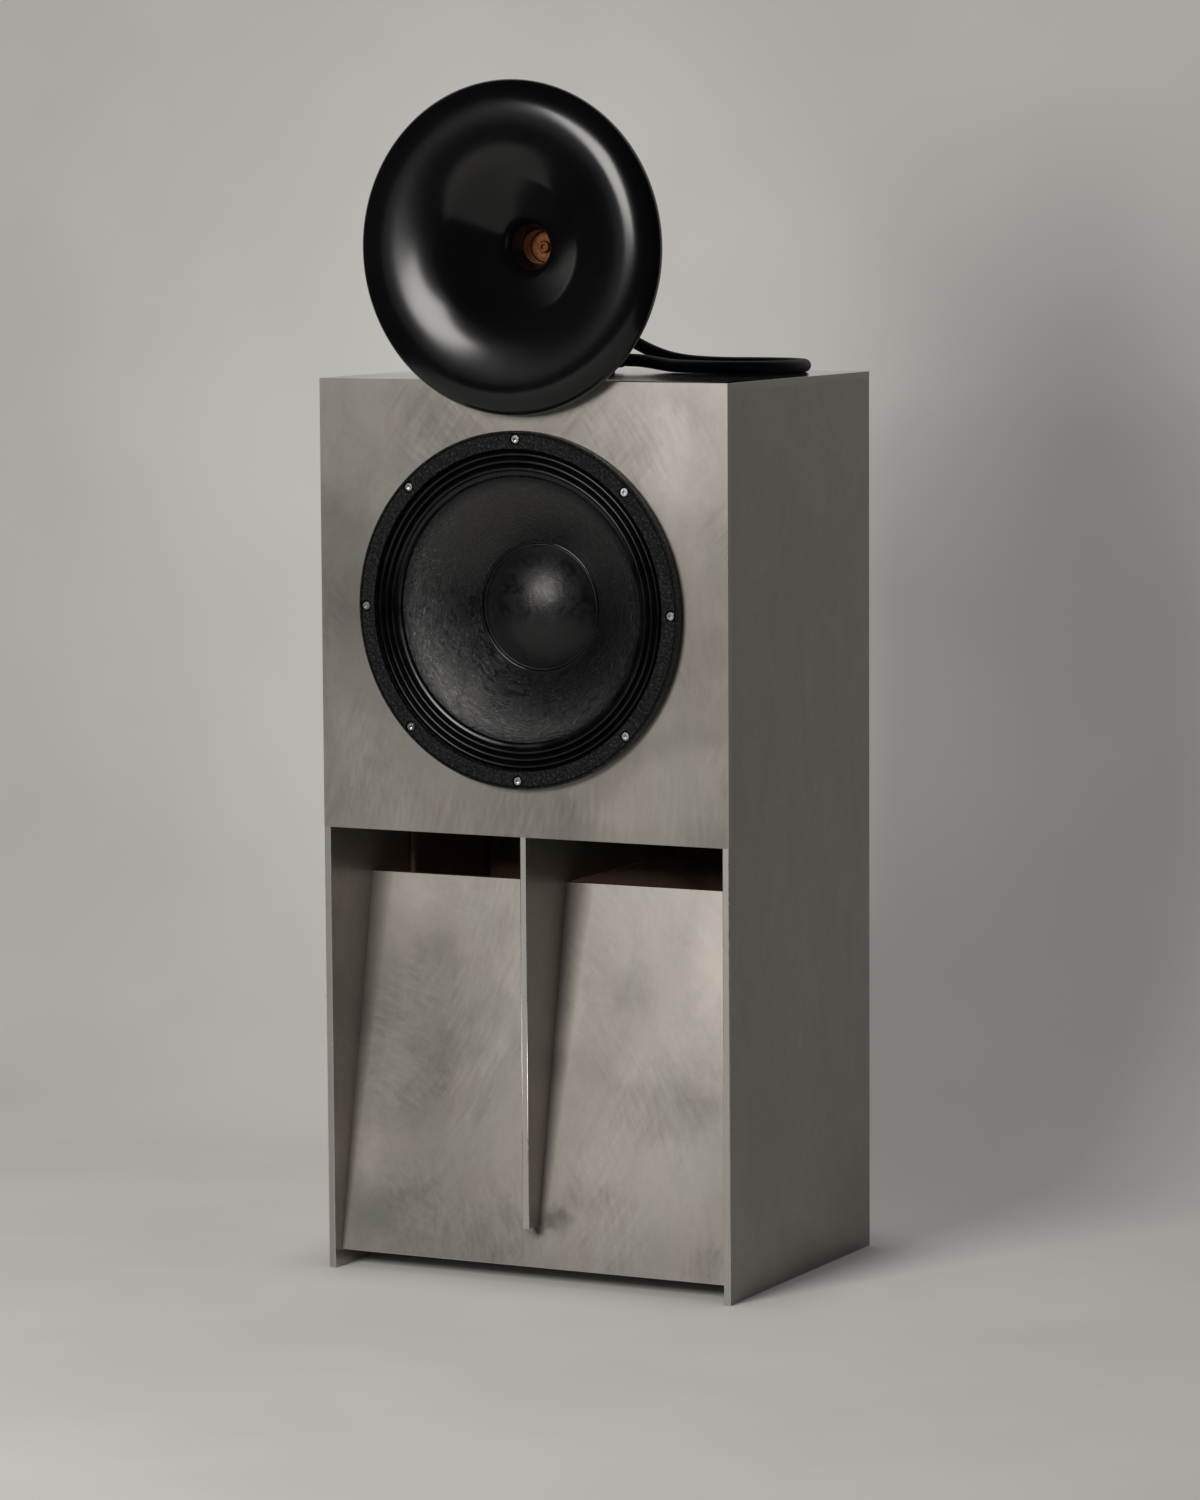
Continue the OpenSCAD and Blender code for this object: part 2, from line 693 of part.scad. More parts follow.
// The plug fills the space under the dome. Its front is a cup that lines the
// throat, with a socket screw's head in the middle of its floor
module phase_plug() {
    step_r = throat_r + 4 - seat_gap;
    liner_r = throat_r + cup_t - seat_gap;
    lip_y = throat_y + seat_gap;
    floor_y = magnet_y - 2;
    head_r = plug_head_d / 2;
    head_y = floor_y - 4;
    socket = 6;
    ball_r = (dome_r * dome_r + dome_h * dome_h) / (2 * dome_h);
    edge_a = asin((dome_r - 3.4) / ball_r);
    steps = 6;
    top_y = cover_y + rim_t + dome_h - dome_gap;
    back = [for (i = [0 : steps]) let (a = edge_a * (1 - i / steps))
        [ball_r * sin(a), top_y - ball_r * (1 - cos(a))]];
    color("#b4713f") placed() difference() {
        turned(horn_z, concat(
            [[0, head_y], [head_r - 1, head_y], [head_r, head_y + 1], [head_r, floor_y],
             [throat_r - 2, floor_y], [throat_r, floor_y - 2], [throat_r, lip_y + 0.5],
             [throat_r + 0.5, lip_y], [liner_r, lip_y], [liner_r, magnet_y - 1],
             [step_r, magnet_y - 1], [step_r, magnet_y + 1 + seat_gap],
             [dome_r - 3.4, cover_y - 0.5]],
            back
        ));
        translate([0, head_y - 1, 0]) along_y(horn_z) {
            cylinder(h = 4, d = socket / cos(30), $fn = 6);
        }
    }
}

module driver_magnet() {
    color("#1d1d1e") placed() turned(horn_z, [
        [dome_r + 6, magnet_y], [driver_d / 2 - 3, magnet_y],
        [driver_d / 2 - 3, rear_y], [dome_r + 6, rear_y]
    ]);
}

module driver_rear_plate() {
    color("#2a2b2c") placed() turned(horn_z, [
        [dome_r + 2, rear_y], [driver_d / 2 - 2, rear_y],
        [driver_d / 2 - 2, cover_y], [dome_r + 2, cover_y]
    ]);
}

module driver_cover() {
    edge = driver_d / 2 - 2;
    color("#161617") placed() turned(horn_z, [
        [dome_r + 12, cover_y], [edge, cover_y], [edge, cover_end - 7], [edge - 2, cover_end - 2],
        [edge - 7, cover_end], [0, cover_end], [0, cover_end - cover_t],
        [dome_r + 12, cover_end - cover_t]
    ]);
}

module driver_diaphragm() {
    ball_r = (dome_r * dome_r + dome_h * dome_h) / (2 * dome_h);
    edge_a = asin(dome_r / ball_r);
    steps = 6;
    y0 = cover_y + rim_t;
    inside = [for (i = [0 : steps]) let (a = edge_a * i / steps)
        [ball_r * sin(a), y0 + dome_h - ball_r * (1 - cos(a))]];
    outside = [for (i = [steps : -1 : 0]) let (a = edge_a * i / steps)
        [(ball_r + dome_t) * sin(a), y0 + dome_h - ball_r + (ball_r + dome_t) * cos(a)]];
    color("#c9c5bc") placed() turned(horn_z, concat(
        inside,
        [[dome_r, rear_y + 1], [dome_r + 0.9, rear_y + 1], [dome_r + 0.9, y0],
         [dome_r + 4, y0], [dome_r + 4, y0 + dome_t]],
        outside
    ));
}

module diaphragm_rim() {
    color("#6b5a3a") placed() turned(horn_z, [
        [dome_r + 2.4, cover_y], [dome_r + 10, cover_y],
        [dome_r + 10, cover_y + rim_t], [dome_r + 2.4, cover_y + rim_t]
    ]);
}

// Cable

module driver_boot() {
    color("#0d0d0d") placed() translate([boot_x, 0, 0]) turned(boot_z, [
        [0, cover_end], [cable_d / 2 + 4, cover_end], [cable_d / 2 + 4, cover_end + 4],
        [cable_d / 2 + 3, cover_end + 5], [cable_d / 2 + 1.2, cover_end + boot_l], [0, cover_end + boot_l]
    ]);
}

// A tube of rings square to the route, one at each of its points
module driver_cable() {
    sides = 10;
    n = len(cable_route);
    function along(i) = unit(cable_route[min(i + 1, n - 1)] - cable_route[max(i - 1, 0)]);
    function across(i) = unit(cross(along(i), [0, 0, 1]));
    function rise(i) = cross(across(i), along(i));
    rings = [for (i = [0 : n - 1], k = [0 : sides - 1]) let (a = 360 * k / sides)
        cable_route[i] + cable_d / 2 * (cos(a) * across(i) + sin(a) * rise(i))];
    walls = [for (i = [0 : n - 2], k = [0 : sides - 1]) let (m = (k + 1) % sides)
        each [[i * sides + k, (i + 1) * sides + k, (i + 1) * sides + m],
              [i * sides + k, (i + 1) * sides + m, i * sides + m]]];
    near_end = [for (k = [0 : sides - 1]) k];
    far_end = [for (k = [sides - 1 : -1 : 0]) (n - 1) * sides + k];
    color("#0b0b0b") placed() polyhedron(rings, concat(walls, [near_end, far_end]));
}

module cable_elbow() {
    color("#0d0d0d") placed() translate([elbow_x, elbow_y, 0]) {
        translate([0, 0, cab_h]) cylinder(h = 4, d = cable_d + 15);
        translate([0, 0, inner_top - 6]) cylinder(h = elbow_z - inner_top + 6, d = cable_d + 5);
        translate([0, 0, inner_top - 6]) cylinder(h = 6, d = cable_d + 13, $fn = 6);
        translate([0, 0, elbow_z]) sphere(d = cable_d + 5, $fn = 48);
        translate([0, 0, elbow_z]) rotate([0, 90, 0]) rotate_extrude() polygon([
            [0, 0], [cable_d / 2 + 2.5, 0], [cable_d / 2 + 2.5, 12],
            [cable_d / 2 + 1.2, elbow_end - elbow_x], [0, elbow_end - elbow_x]
        ]);
    }
}

// Crossover, on the back plate behind the ramp

board_z = floor_gap + plate_t + 120;
board_face = inner_back - spacer_l - board_t;

module crossover_board() {
    color("#31503a") placed() translate([-board_w / 2, board_face, board_z]) {
        cube([board_w, board_t, board_h]);
    }
}

module crossover_spacers() {
    color("silver") placed() {
        for (x = [-1, 1], z = [0, 1]) {
            translate([x * (board_w / 2 - spacer_d), inner_back - spacer_l, 0]) {
                along_y(board_z + spacer_d + z * (board_h - 2 * spacer_d)) {
                    cylinder(h = spacer_l, d = spacer_d, $fn = 32);
                }
            }
        }
    }
}

module crossover_coils() {
    front = board_face - air_coil_l;
    color("#a8632f") placed() {
        for (x = [-1, 1]) {
            translate([x * board_w * 0.3, 0, 0]) turned(board_z + board_h / 2, [
                [air_coil_core / 2, front], [air_coil_d / 2, front],
                [air_coil_d / 2, board_face], [air_coil_core / 2, board_face]
            ]);
        }
    }
}

// Two capacitors side by side below, and one above them
module crossover_capacitors() {
    places = [[-0.55, 0.12], [0.55, 0.12], [0, 0.88]];
    color("#c9b27a") placed() {
        for (p = places) {
            translate([
                p[0] * capacitor_d, board_face - capacitor_d / 2 - seat_gap,
                board_z + p[1] * (board_h - capacitor_l)
            ]) cylinder(h = capacitor_l, d = capacitor_d, $fn = 48);
        }
    }
}

// Rear terminals

module at_posts() {
    for (side = [-1, 1]) {
        translate([side * post_pitch / 2, 0, 0]) children();
    }
}

module terminal_bushes() {
    color("#101010") placed() at_posts() turned(post_z, [
        [stud_d / 2 + run_gap, inner_back - 2], [stud_d / 2 + 2 - run_gap, inner_back - 2],
        [stud_d / 2 + 2 - run_gap, cab_d], [knob_d / 2 + 1.2, cab_d],
        [knob_d / 2 + 1.2, cab_d + bush_t], [stud_d / 2 + run_gap, cab_d + bush_t]
    ]);
}

module terminal_studs() {
    color("#c8a24a") placed() at_posts() difference() {
        union() {
            translate([0, inner_back - 12, 0]) {
                along_y(post_z) cylinder(h = stud_end - inner_back + 12, d = stud_d, $fn = 48);
            }
            translate([0, inner_back - 7, 0]) along_y(post_z) cylinder(h = 5, d = stud_d + 6, $fn = 6);
        }
        translate([0, stud_end - 18, 0]) along_y(post_z) cylinder(h = 19, d = socket_d, $fn = 48);
    }
}

module knob() {
    start = cab_d + bush_t + seat_gap;
    difference() {
        turned(post_z, [
            [stud_d / 2 + run_gap, start], [knob_d / 2, start], [knob_d / 2, start + knob_l - 1],
            [knob_d / 2 - 1, start + knob_l], [stud_d / 2 + run_gap, start + knob_l]
        ]);
        translate([0, start + 3, 0]) along_y(post_z) ring_of(12, knob_d + 0.6) {
            cylinder(h = knob_l, d = 2, $fn = 16);
        }
    }
}

module terminal_knob_plus() {
    color("#a01c1c") placed() translate([post_pitch / 2, 0, 0]) knob();
}

module terminal_knob_minus() {
    color("#141414") placed() translate([-post_pitch / 2, 0, 0]) knob();
}

side_plate_left();
side_plate_right();
top_plate();
back_plate();
front_baffle();
bottom_plate();
ramp_panel();
centre_fin();
damping_left();
damping_right();
damping_back();
woofer_frame();
woofer_gasket();
woofer_screws();
woofer_cone();
dust_cap();
woofer_surround();
woofer_spider();
voice_coil();
woofer_front_plate();
woofer_magnet();
woofer_yoke();
woofer_terminals();
horn();
horn_stand();
stand_screws();
driver_front_plate();
phase_plug();
driver_magnet();
driver_rear_plate();
driver_cover();
driver_diaphragm();
diaphragm_rim();
driver_bolts();
driver_boot();
driver_cable();
cable_elbow();
crossover_board();
crossover_spacers();
crossover_coils();
crossover_capacitors();
terminal_bushes();
terminal_studs();
terminal_knob_plus();
terminal_knob_minus();
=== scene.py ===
"""Looks of the loudspeaker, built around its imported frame, for Blender 4.5.

Lengths are metres in the frame's own axes: +Z up, the front faces -Y. Most
pieces are turned about the woofer's or the horn's axis, which both run along Y.
"""
import json
import math

import bmesh
import bpy
import numpy as np
from mathutils import Matrix, Vector, noise
from mathutils.bvhtree import BVHTree


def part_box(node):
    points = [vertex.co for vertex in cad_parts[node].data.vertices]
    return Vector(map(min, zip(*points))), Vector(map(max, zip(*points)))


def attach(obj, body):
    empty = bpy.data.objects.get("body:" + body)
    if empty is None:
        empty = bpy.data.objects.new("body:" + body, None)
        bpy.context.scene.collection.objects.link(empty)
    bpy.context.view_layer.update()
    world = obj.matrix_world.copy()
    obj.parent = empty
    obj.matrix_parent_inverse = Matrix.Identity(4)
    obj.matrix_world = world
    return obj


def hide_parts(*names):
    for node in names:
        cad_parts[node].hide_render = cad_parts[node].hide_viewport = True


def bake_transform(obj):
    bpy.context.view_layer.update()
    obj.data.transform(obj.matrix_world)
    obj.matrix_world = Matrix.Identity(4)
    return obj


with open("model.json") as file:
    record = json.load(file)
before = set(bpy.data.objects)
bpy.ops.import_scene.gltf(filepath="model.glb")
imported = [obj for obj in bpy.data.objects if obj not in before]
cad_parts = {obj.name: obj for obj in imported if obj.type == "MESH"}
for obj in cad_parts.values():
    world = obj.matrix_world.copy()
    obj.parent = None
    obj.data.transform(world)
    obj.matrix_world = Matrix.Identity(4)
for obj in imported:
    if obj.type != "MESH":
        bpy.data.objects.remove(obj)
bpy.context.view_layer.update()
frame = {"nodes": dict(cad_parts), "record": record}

MM = 0.001

# Places and sizes taken from the frame
FACE_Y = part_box("front_baffle")[0].y
WOOFER_Z = sum(p.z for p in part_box("woofer_frame")) / 2
HORN_Z = sum(p.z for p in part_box("horn")) / 2
THROAT_R = 17.8 * MM


def deep(mm):
    """The y of a point that lies mm behind the baffle's front face."""
    return FACE_Y + mm * MM


# Camera

CAMERA_AT = Vector((2.7448, deep(-5240.2), 1.2221))
CAMERA_YAW = 26.83
CAMERA_PITCH = -6.10
CAMERA_ROLL = -0.34
CAMERA_LENS = 131.8


def make_camera():
    """The photograph's own viewpoint: from the right of the front, a little from above."""
    data = bpy.data.cameras.new("camera")
    data.lens = CAMERA_LENS
    data.sensor_width = 36
    camera = bpy.data.objects.new("camera", data)
    bpy.context.scene.collection.objects.link(camera)
    turn = (
        Matrix.Rotation(math.radians(CAMERA_YAW), 4, "Z")
        @ Matrix.Rotation(math.radians(90 + CAMERA_PITCH), 4, "X")
        @ Matrix.Rotation(math.radians(CAMERA_ROLL), 4, "Z")
    )
    camera.matrix_world = Matrix.Translation(CAMERA_AT) @ turn
    bpy.context.scene.camera = camera


make_camera()


# Mesh tools


def new_object(name, points, faces, sharp=35):
    """A mesh object from points and faces, smooth except across angles over sharp."""
    mesh = bpy.data.meshes.new(name)
    mesh.from_pydata([tuple(map(float, p)) for p in points], [], faces)
    mesh.validate()
    mesh.update()
    mesh.shade_smooth()
    mesh.set_sharp_from_angle(angle=math.radians(sharp))
    made = bpy.data.objects.new(name, mesh)
    bpy.context.scene.collection.objects.link(made)
    return made


def turned(name, profile, z, steps=192, span=(0.0, 360.0), sharp=35):
    """A piece turned about an axis along Y at height z, from points (radius, y).

    The profile is closed and runs round the section, with the solid on its left
    as the radius is drawn to the right and y upwards. Points on the axis are poles.
    """
    first, last = span
    whole = abs(last - first - 360) < 1e-6
    count = steps if whole else steps + 1
    angles = np.radians(np.linspace(first, last, steps, endpoint=False) if whole
                        else np.linspace(first, last, steps + 1))
    rows, points = [], []
    for radius, y in profile:
        if radius < 1e-7:
            rows.append([len(points)] * count)
            points.append((0.0, y, z))
        else:
            rows.append(list(range(len(points), len(points) + count)))
            points += [(radius * math.cos(a), y, z + radius * math.sin(a)) for a in angles]
    faces = []
    for i in range(len(rows)):
        low, high = rows[i], rows[(i + 1) % len(rows)]
        for k in range(count if whole else count - 1):
            m = (k + 1) % count
            ring = [low[k], low[m], high[m], high[k]]
            face = [p for j, p in enumerate(ring) if p != ring[j - 1]]
            if len(face) > 2:
                faces.append(face)
    return new_object(name, points, faces, sharp=sharp)


def arc(centre, radius, start, end, steps):
    """Points (radius, y) on an arc, with angles in degrees."""
    return [(centre[0] + radius * math.cos(a), centre[1] + radius * math.sin(a))
            for a in np.radians(np.linspace(start, end, steps + 1))]


# Cable: out of the driver's boot, round on the top plate and into the elbow

CABLE_D = 14.5 * MM
CABLE_ROUTE = [
    (-26, 158, 1104.5), (-26, 170, 1104.5), (-27, 187, 1102), (-30, 205, 1095), (-34, 223, 1085),
    (-38, 242, 1073), (-40, 261, 1060), (-38, 280, 1047), (-30, 297, 1034), (-16, 311, 1021.5),
    (2, 320, 1011), (20, 327, 1004), (40, 334, 1000), (62, 341, 998.2), (87, 347, 997.4),
    (112, 350.5, 997.4), (137.5, 351, 997.4), (160.5, 346.4, 997.4), (179.9, 333.4, 997.4),
    (192.9, 314, 997.4), (197.5, 291, 997.4), (192.9, 268, 997.4), (179.9, 248.6, 997.4),
    (160.5, 235.6, 997.4), (137.5, 231, 997.4), (117, 233.5, 997.4), (97, 239.8, 997.4),
    (77, 248.6, 997.4), (57, 258.3, 997.6), (38, 267.2, 999.1), (22, 273.5, 1000.8), (6, 278, 1002.1),
    (-6, 279.8, 1002.4), (-16, 280, 1002.5),
]
CABLE_SIDES = 48
CABLE_STEP = 0.9 * MM
BRAID_STRANDS = 12
BRAID_PITCH = 26 * MM
BRAID_RELIEF = 0.32 * MM


def smooth_route(points, step):
    """Points a step apart along a smooth curve through the given ones."""
    p = np.array(points, float)
    ends = np.vstack([2 * p[0] - p[1], p, 2 * p[-1] - p[-2]])
    dense = []
    for i in range(len(p) - 1):
        a, b, c, d = ends[i: i + 4]
        for t in np.arange(0, 1, 0.05):
            dense.append(0.5 * (2 * b + (c - a) * t + (2 * a - 5 * b + 4 * c - d) * t ** 2
                                + (3 * b - a - 3 * c + d) * t ** 3))
    dense = np.array(dense + [p[-1]])
    run = np.concatenate([[0], np.cumsum(np.linalg.norm(np.diff(dense, axis=0), axis=1))])
    at = np.linspace(0, run[-1], max(2, round(run[-1] / step)) + 1)
    return np.stack([np.interp(at, run, dense[:, k]) for k in range(3)], axis=1), at


def braid(turn, along):
    """Height from 0 to 1 of a braid of crossing strands, at a turn (0 to 1) and a length."""
    left = turn * BRAID_STRANDS + along / BRAID_PITCH * BRAID_STRANDS
    right = turn * BRAID_STRANDS - along / BRAID_PITCH * BRAID_STRANDS
    over = (np.floor(left) + np.floor(right)) % 2
    strand_l = np.sqrt(1 - (2 * (left % 1) - 1) ** 2)
    strand_r = np.sqrt(1 - (2 * (right % 1) - 1) ** 2)
    return np.maximum(strand_l * (0.55 + 0.45 * over), strand_r * (1 - 0.45 * over))


def make_cable():
    """The cord along its route, with the braid's strands raised from its sleeve."""
    sides = CABLE_SIDES
    route = [(x * MM, deep(y), z * MM) for x, y, z in CABLE_ROUTE]
    line, at = smooth_route(route, CABLE_STEP)
    ahead = np.gradient(line, axis=0)
    ahead /= np.linalg.norm(ahead, axis=1)[:, None]
    side = np.cross(ahead, (0, 0, 1))
    side /= np.linalg.norm(side, axis=1)[:, None]
    rise = np.cross(side, ahead)
    turn = np.arange(sides) / sides
    height = braid(turn[None, :], at[:, None])
    radius = CABLE_D / 2 - BRAID_RELIEF * (1 - height)
    angle = 2 * np.pi * turn
    ring = (line[:, None, :] + radius[..., None] * (np.cos(angle)[None, :, None] * side[:, None, :]
                                                    + np.sin(angle)[None, :, None] * rise[:, None, :]))
    points = ring.reshape(-1, 3)
    faces = []
    for i in range(len(line) - 1):
        for k in range(sides):
            m = (k + 1) % sides
            faces.append((i * sides + k, i * sides + m, (i + 1) * sides + m, (i + 1) * sides + k))
    faces.append(tuple(range(sides - 1, -1, -1)))
    last = (len(line) - 1) * sides
    faces.append(tuple(range(last, last + sides)))
    cable = new_object("driver_cable_braid", points, faces, sharp=60)
    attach(cable, "cabinet")
    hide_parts("driver_cable")
    return cable


cable = make_cable()


# Shader tools


class Shader:
    """A material's nodes, added step by step. Each step gives back an output socket."""

    def __init__(self, name):
        self.material = bpy.data.materials.new(name)
        self.material.use_nodes = True
        self.tree = self.material.node_tree
        self.tree.nodes.clear()
        self.output = self.tree.nodes.new("ShaderNodeOutputMaterial")
        self.place = self.tree.nodes.new("ShaderNodeTexCoord").outputs["Object"]

    def node(self, kind, inputs=None, **settings):
        """A new node with these settings, fed with values or with other nodes' outputs."""
        made = self.tree.nodes.new(kind)
        for key, value in settings.items():
            setattr(made, key, value)
        for key, value in (inputs or {}).items():
            self.feed(made.inputs[key], value)
        return made

    def feed(self, socket, value):
        if isinstance(value, bpy.types.NodeSocket):
            self.tree.links.new(value, socket)
        elif value is not None:
            socket.default_value = value

    def math(self, operation, a, b=None, clamp=False):
        made = self.node("ShaderNodeMath", operation=operation, use_clamp=clamp)
        for socket, value in zip(made.inputs, (a, b)):
            self.feed(socket, value)
        return made.outputs[0]

    def vector(self, operation, a, b=None, scale=None):
        made = self.node("ShaderNodeVectorMath", operation=operation)
        self.feed(made.inputs[0], a)
        self.feed(made.inputs[1], b)
        if scale is not None:
            made.inputs["Scale"].default_value = scale
        return made.outputs["Value" if operation == "LENGTH" else "Vector"]

    def parts(self, vector):
        return self.node("ShaderNodeSeparateXYZ", {0: vector}).outputs

    def joined(self, x, y, z):
        return self.node("ShaderNodeCombineXYZ", {"X": x, "Y": y, "Z": z}).outputs[0]

    def scaled(self, x, y, z):
        """The place, with each axis times a factor."""
        return self.vector("MULTIPLY", self.place, (x, y, z))

    def reach(self, axis_z):
        """The distance from an axis along Y at a height."""
        place = self.parts(self.place)
        return self.vector("LENGTH", self.joined(place["X"], 0.0, self.math("SUBTRACT", place["Z"], axis_z)))

    def bearing(self, axis_z):
        """The angle round an axis along Y at a height."""
        place = self.parts(self.place)
        return self.math("ARCTAN2", self.math("SUBTRACT", place["Z"], axis_z), place["X"])

    def noise(self, vector, scale, detail=3.0, roughness=0.5, distortion=0.0):
        return self.node("ShaderNodeTexNoise", {
            "Vector": vector, "Scale": scale, "Detail": detail,
            "Roughness": roughness, "Distortion": distortion,
        }).outputs["Fac"]

    def ramp(self, fac, low, high):
        """A colour ramp from one colour to another."""
        made = self.node("ShaderNodeValToRGB", {"Fac": fac})
        for element, colour in zip(made.color_ramp.elements, (low, high)):
            element.color = (*colour, 1.0)
        return made.outputs["Color"]

    def span(self, value, low, high, to_low=0.0, to_high=1.0):
        """The value's place between low and high, eased from to_low to to_high."""
        return self.node("ShaderNodeMapRange", {
            "Value": value, "From Min": low, "From Max": high, "To Min": to_low, "To Max": to_high,
        }, interpolation_type="SMOOTHSTEP", clamp=True).outputs["Result"]

    def mix(self, fac, a, b, blend="MIX"):
        made = self.node("ShaderNodeMix", data_type="RGBA", blend_type=blend)
        sockets = [s for s in made.inputs if s.type == "RGBA"]
        self.feed(made.inputs["Factor"], fac)
        for socket, value in zip(sockets, (a, b)):
            self.feed(socket, (*value, 1.0) if isinstance(value, tuple) and len(value) == 3 else value)
        return [s for s in made.outputs if s.type == "RGBA"][0]

    def bump(self, height, distance, strength=1.0):
        return self.node("ShaderNodeBump", {
            "Height": height, "Distance": distance, "Strength": strength,
        }).outputs["Normal"]

    def sway(self, value, amount):
        """A value between 0 and 1 as a swing of that amount about nothing."""
        return self.math("MULTIPLY", self.math("SUBTRACT", value, 0.5), amount)

    def finish(self, **inputs):
        """The Principled shader with these inputs, named as its sockets with _ for a space."""
        shader = self.node("ShaderNodeBsdfPrincipled")
        for key, value in inputs.items():
            if isinstance(value, tuple) and len(value) == 3:
                value = (*value, 1.0)
            self.feed(shader.inputs[key.replace("_", " ")], value)
        self.tree.links.new(shader.outputs[0], self.output.inputs["Surface"])
        return self.material


# Finishes

X, Y, Z = 0, 1, 2
PLATE_DARK = (0.180, 0.165, 0.152)
PLATE_PALE = (0.70, 0.646, 0.590)
PLATE_METAL = 0.62
GLANCE_METAL = 0.95
GLANCE_ROUGH = 0.08
GREENISH = (0.93, 1.0, 0.97)


def plate_finish(name, flat, seed, light=1.0, arcs=(), stains_and_painted_light=(), rough=0.34,
                 narrow=(0.33, 0.31, 0.285)):
    """Bare aluminium plate, sanded by hand: cloudy, with strokes, arcs, stains and painted light.

    flat names the two axes that the plate lies in. arcs are the centres that
    the sanding strokes swing about, as (across, up). A stain is (across, up,
    half width, half height, amount), and a pale one has a positive amount:
    some are blotches, the large ones painted highlight and painted shade.
    light scales the whole plate's colour, as painted light or shade. narrow is
    the colour of the plate's narrow sides, painted lighter or darker as they
    catch the light. Seen at a glancing angle the metal mirrors more sharply.
    """
    s = Shader(name)
    xyz = s.parts(s.place)
    across, up = xyz[flat[0]], xyz[flat[1]]
    sheet = s.joined(across, up, seed * 7.3)
    cloud = s.noise(sheet, 5.0, detail=2.0, roughness=0.5, distortion=0.5)
    patch = s.noise(s.vector("MULTIPLY", sheet, (1.0, 0.6, 1.0)), 17.0, detail=4.0, roughness=0.6,
                    distortion=0.7)
    fleck = s.noise(sheet, 150.0, detail=3.0, roughness=0.65)
    grain = s.noise(s.vector("MULTIPLY", sheet, (700.0, 14.0, 1.0)), 1.0, detail=2.0)
    swept = s.sway(grain, 0.25)
    for i, (cx, cz) in enumerate(arcs):
        off = s.vector("SUBTRACT", s.joined(across, up, 0.0), (cx, cz, 0.0))
        reach = s.vector("LENGTH", off)
        o = s.parts(off)
        bearing = s.math("ARCTAN2", o["Y"], o["X"])
        stroke = s.noise(s.joined(s.math("MULTIPLY", reach, 190.0), s.math("MULTIPLY", bearing, 15.0),
                                  seed + i * 3.1), 1.0, detail=3.0, roughness=0.6)
        where = s.span(s.noise(s.joined(across, up, seed + 20.0 + i), 7.0, detail=1.0), 0.40, 0.62)
        swept = s.math("ADD", swept, s.sway(stroke, where))
    tone = s.math("MULTIPLY", swept, 0.22)
    for part, amount in ((cloud, 0.36), (patch, 0.32), (fleck, 0.14)):
        tone = s.math("ADD", tone, s.sway(part, amount))
    frayed = s.sway(s.noise(sheet, 16.0, detail=3.0), 0.10)
    spot = s.joined(s.math("ADD", across, frayed), s.math("ADD", up, frayed), 0.0)
    # Stains lighten or darken patches: some are blotches, the large ones painted highlight and painted shade
    for at_across, at_up, wide, high, amount in stains_and_painted_light:
        off = s.vector("SUBTRACT", spot, (at_across, at_up, 0.0))
        off = s.vector("MULTIPLY", off, (1 / wide, 1 / high, 1.0))
        tone = s.math("ADD", tone, s.span(s.vector("LENGTH", off), 0.1, 1.0, amount, 0.0))
    level = s.math("ADD", tone, 0.5, clamp=True)
    # light scales the plate's colour: painted light or shade for the whole plate
    dark = tuple(light * c for c in PLATE_DARK)
    pale = tuple(light * c for c in PLATE_PALE)
    colour = s.ramp(level, dark, pale)
    # The narrow sides take the narrow colour: painted light or painted shade
    thin = X + Y + Z - flat[0] - flat[1]
    facing = s.parts(s.node("ShaderNodeTexCoord").outputs["Normal"])[thin]
    narrow_side_shading = s.span(s.math("ABSOLUTE", facing), 0.3, 0.6, 0.9, 0.0)
    colour = s.mix(narrow_side_shading, colour, narrow)
    hue = s.noise(sheet, 9.0, detail=2.0)
    colour = s.mix(s.span(hue, 0.42, 0.68, 0.0, 0.4), colour,
                   s.mix(1.0, colour, GREENISH, blend="MULTIPLY"))
    shine = s.span(cloud, 0.3, 0.7, rough - 0.03, rough + 0.04)
    shine = s.math("ADD", shine, s.math("MULTIPLY", swept, 0.10))
    glance = s.span(s.node("ShaderNodeLayerWeight", {"Blend": 0.5}).outputs["Facing"], 0.84, 0.94)
    shine = s.math("ADD", shine, s.math("MULTIPLY", glance, GLANCE_ROUGH - rough))
    metal = s.math("ADD", PLATE_METAL, s.math("MULTIPLY", glance, GLANCE_METAL - PLATE_METAL))
    relief = s.bump(swept, 0.00008, strength=0.5)
    return s.finish(Base_Color=colour, Metallic=metal, Roughness=shine, Normal=relief)


def steel_finish(name, colour, rough):
    """Bright or machined metal, with fine turning marks and a few dull spots."""
    s = Shader(name)
    cloud = s.noise(s.place, 60.0, detail=3.0)
    fine = s.noise(s.scaled(2500.0, 2500.0, 300.0), 1.0, detail=1.0)
    tint = s.mix(s.span(cloud, 0.3, 0.75, 0.0, 0.6), colour, tuple(c * 0.72 for c in colour))
    roughness = s.math("ADD", s.span(cloud, 0.3, 0.7, rough - 0.05, rough + 0.08),
                       s.math("MULTIPLY", fine, 0.05))
    return s.finish(Base_Color=tint, Metallic=1.0, Roughness=roughness,
                    Normal=s.bump(fine, 0.00002, strength=0.4))


def lacquer_finish():
    """The horn's satin black lacquer, very even, with the faintest orange peel."""
    s = Shader("horn_lacquer")
    peel = s.noise(s.place, 260.0, detail=2.0)
    wave = s.noise(s.place, 24.0, detail=1.0)
    dust = s.noise(s.place, 9.0, detail=3.0)
    rough = s.span(dust, 0.3, 0.7, 0.175, 0.20)
    colour = s.mix(s.span(dust, 0.3, 0.7), (0.0035, 0.0035, 0.0040), (0.0055, 0.0055, 0.0060))
    height = s.math("ADD", s.math("MULTIPLY", peel, 0.15), wave)
    return s.finish(Base_Color=colour, Roughness=rough, IOR=1.5,
                    Normal=s.bump(height, 0.00004, strength=0.5))


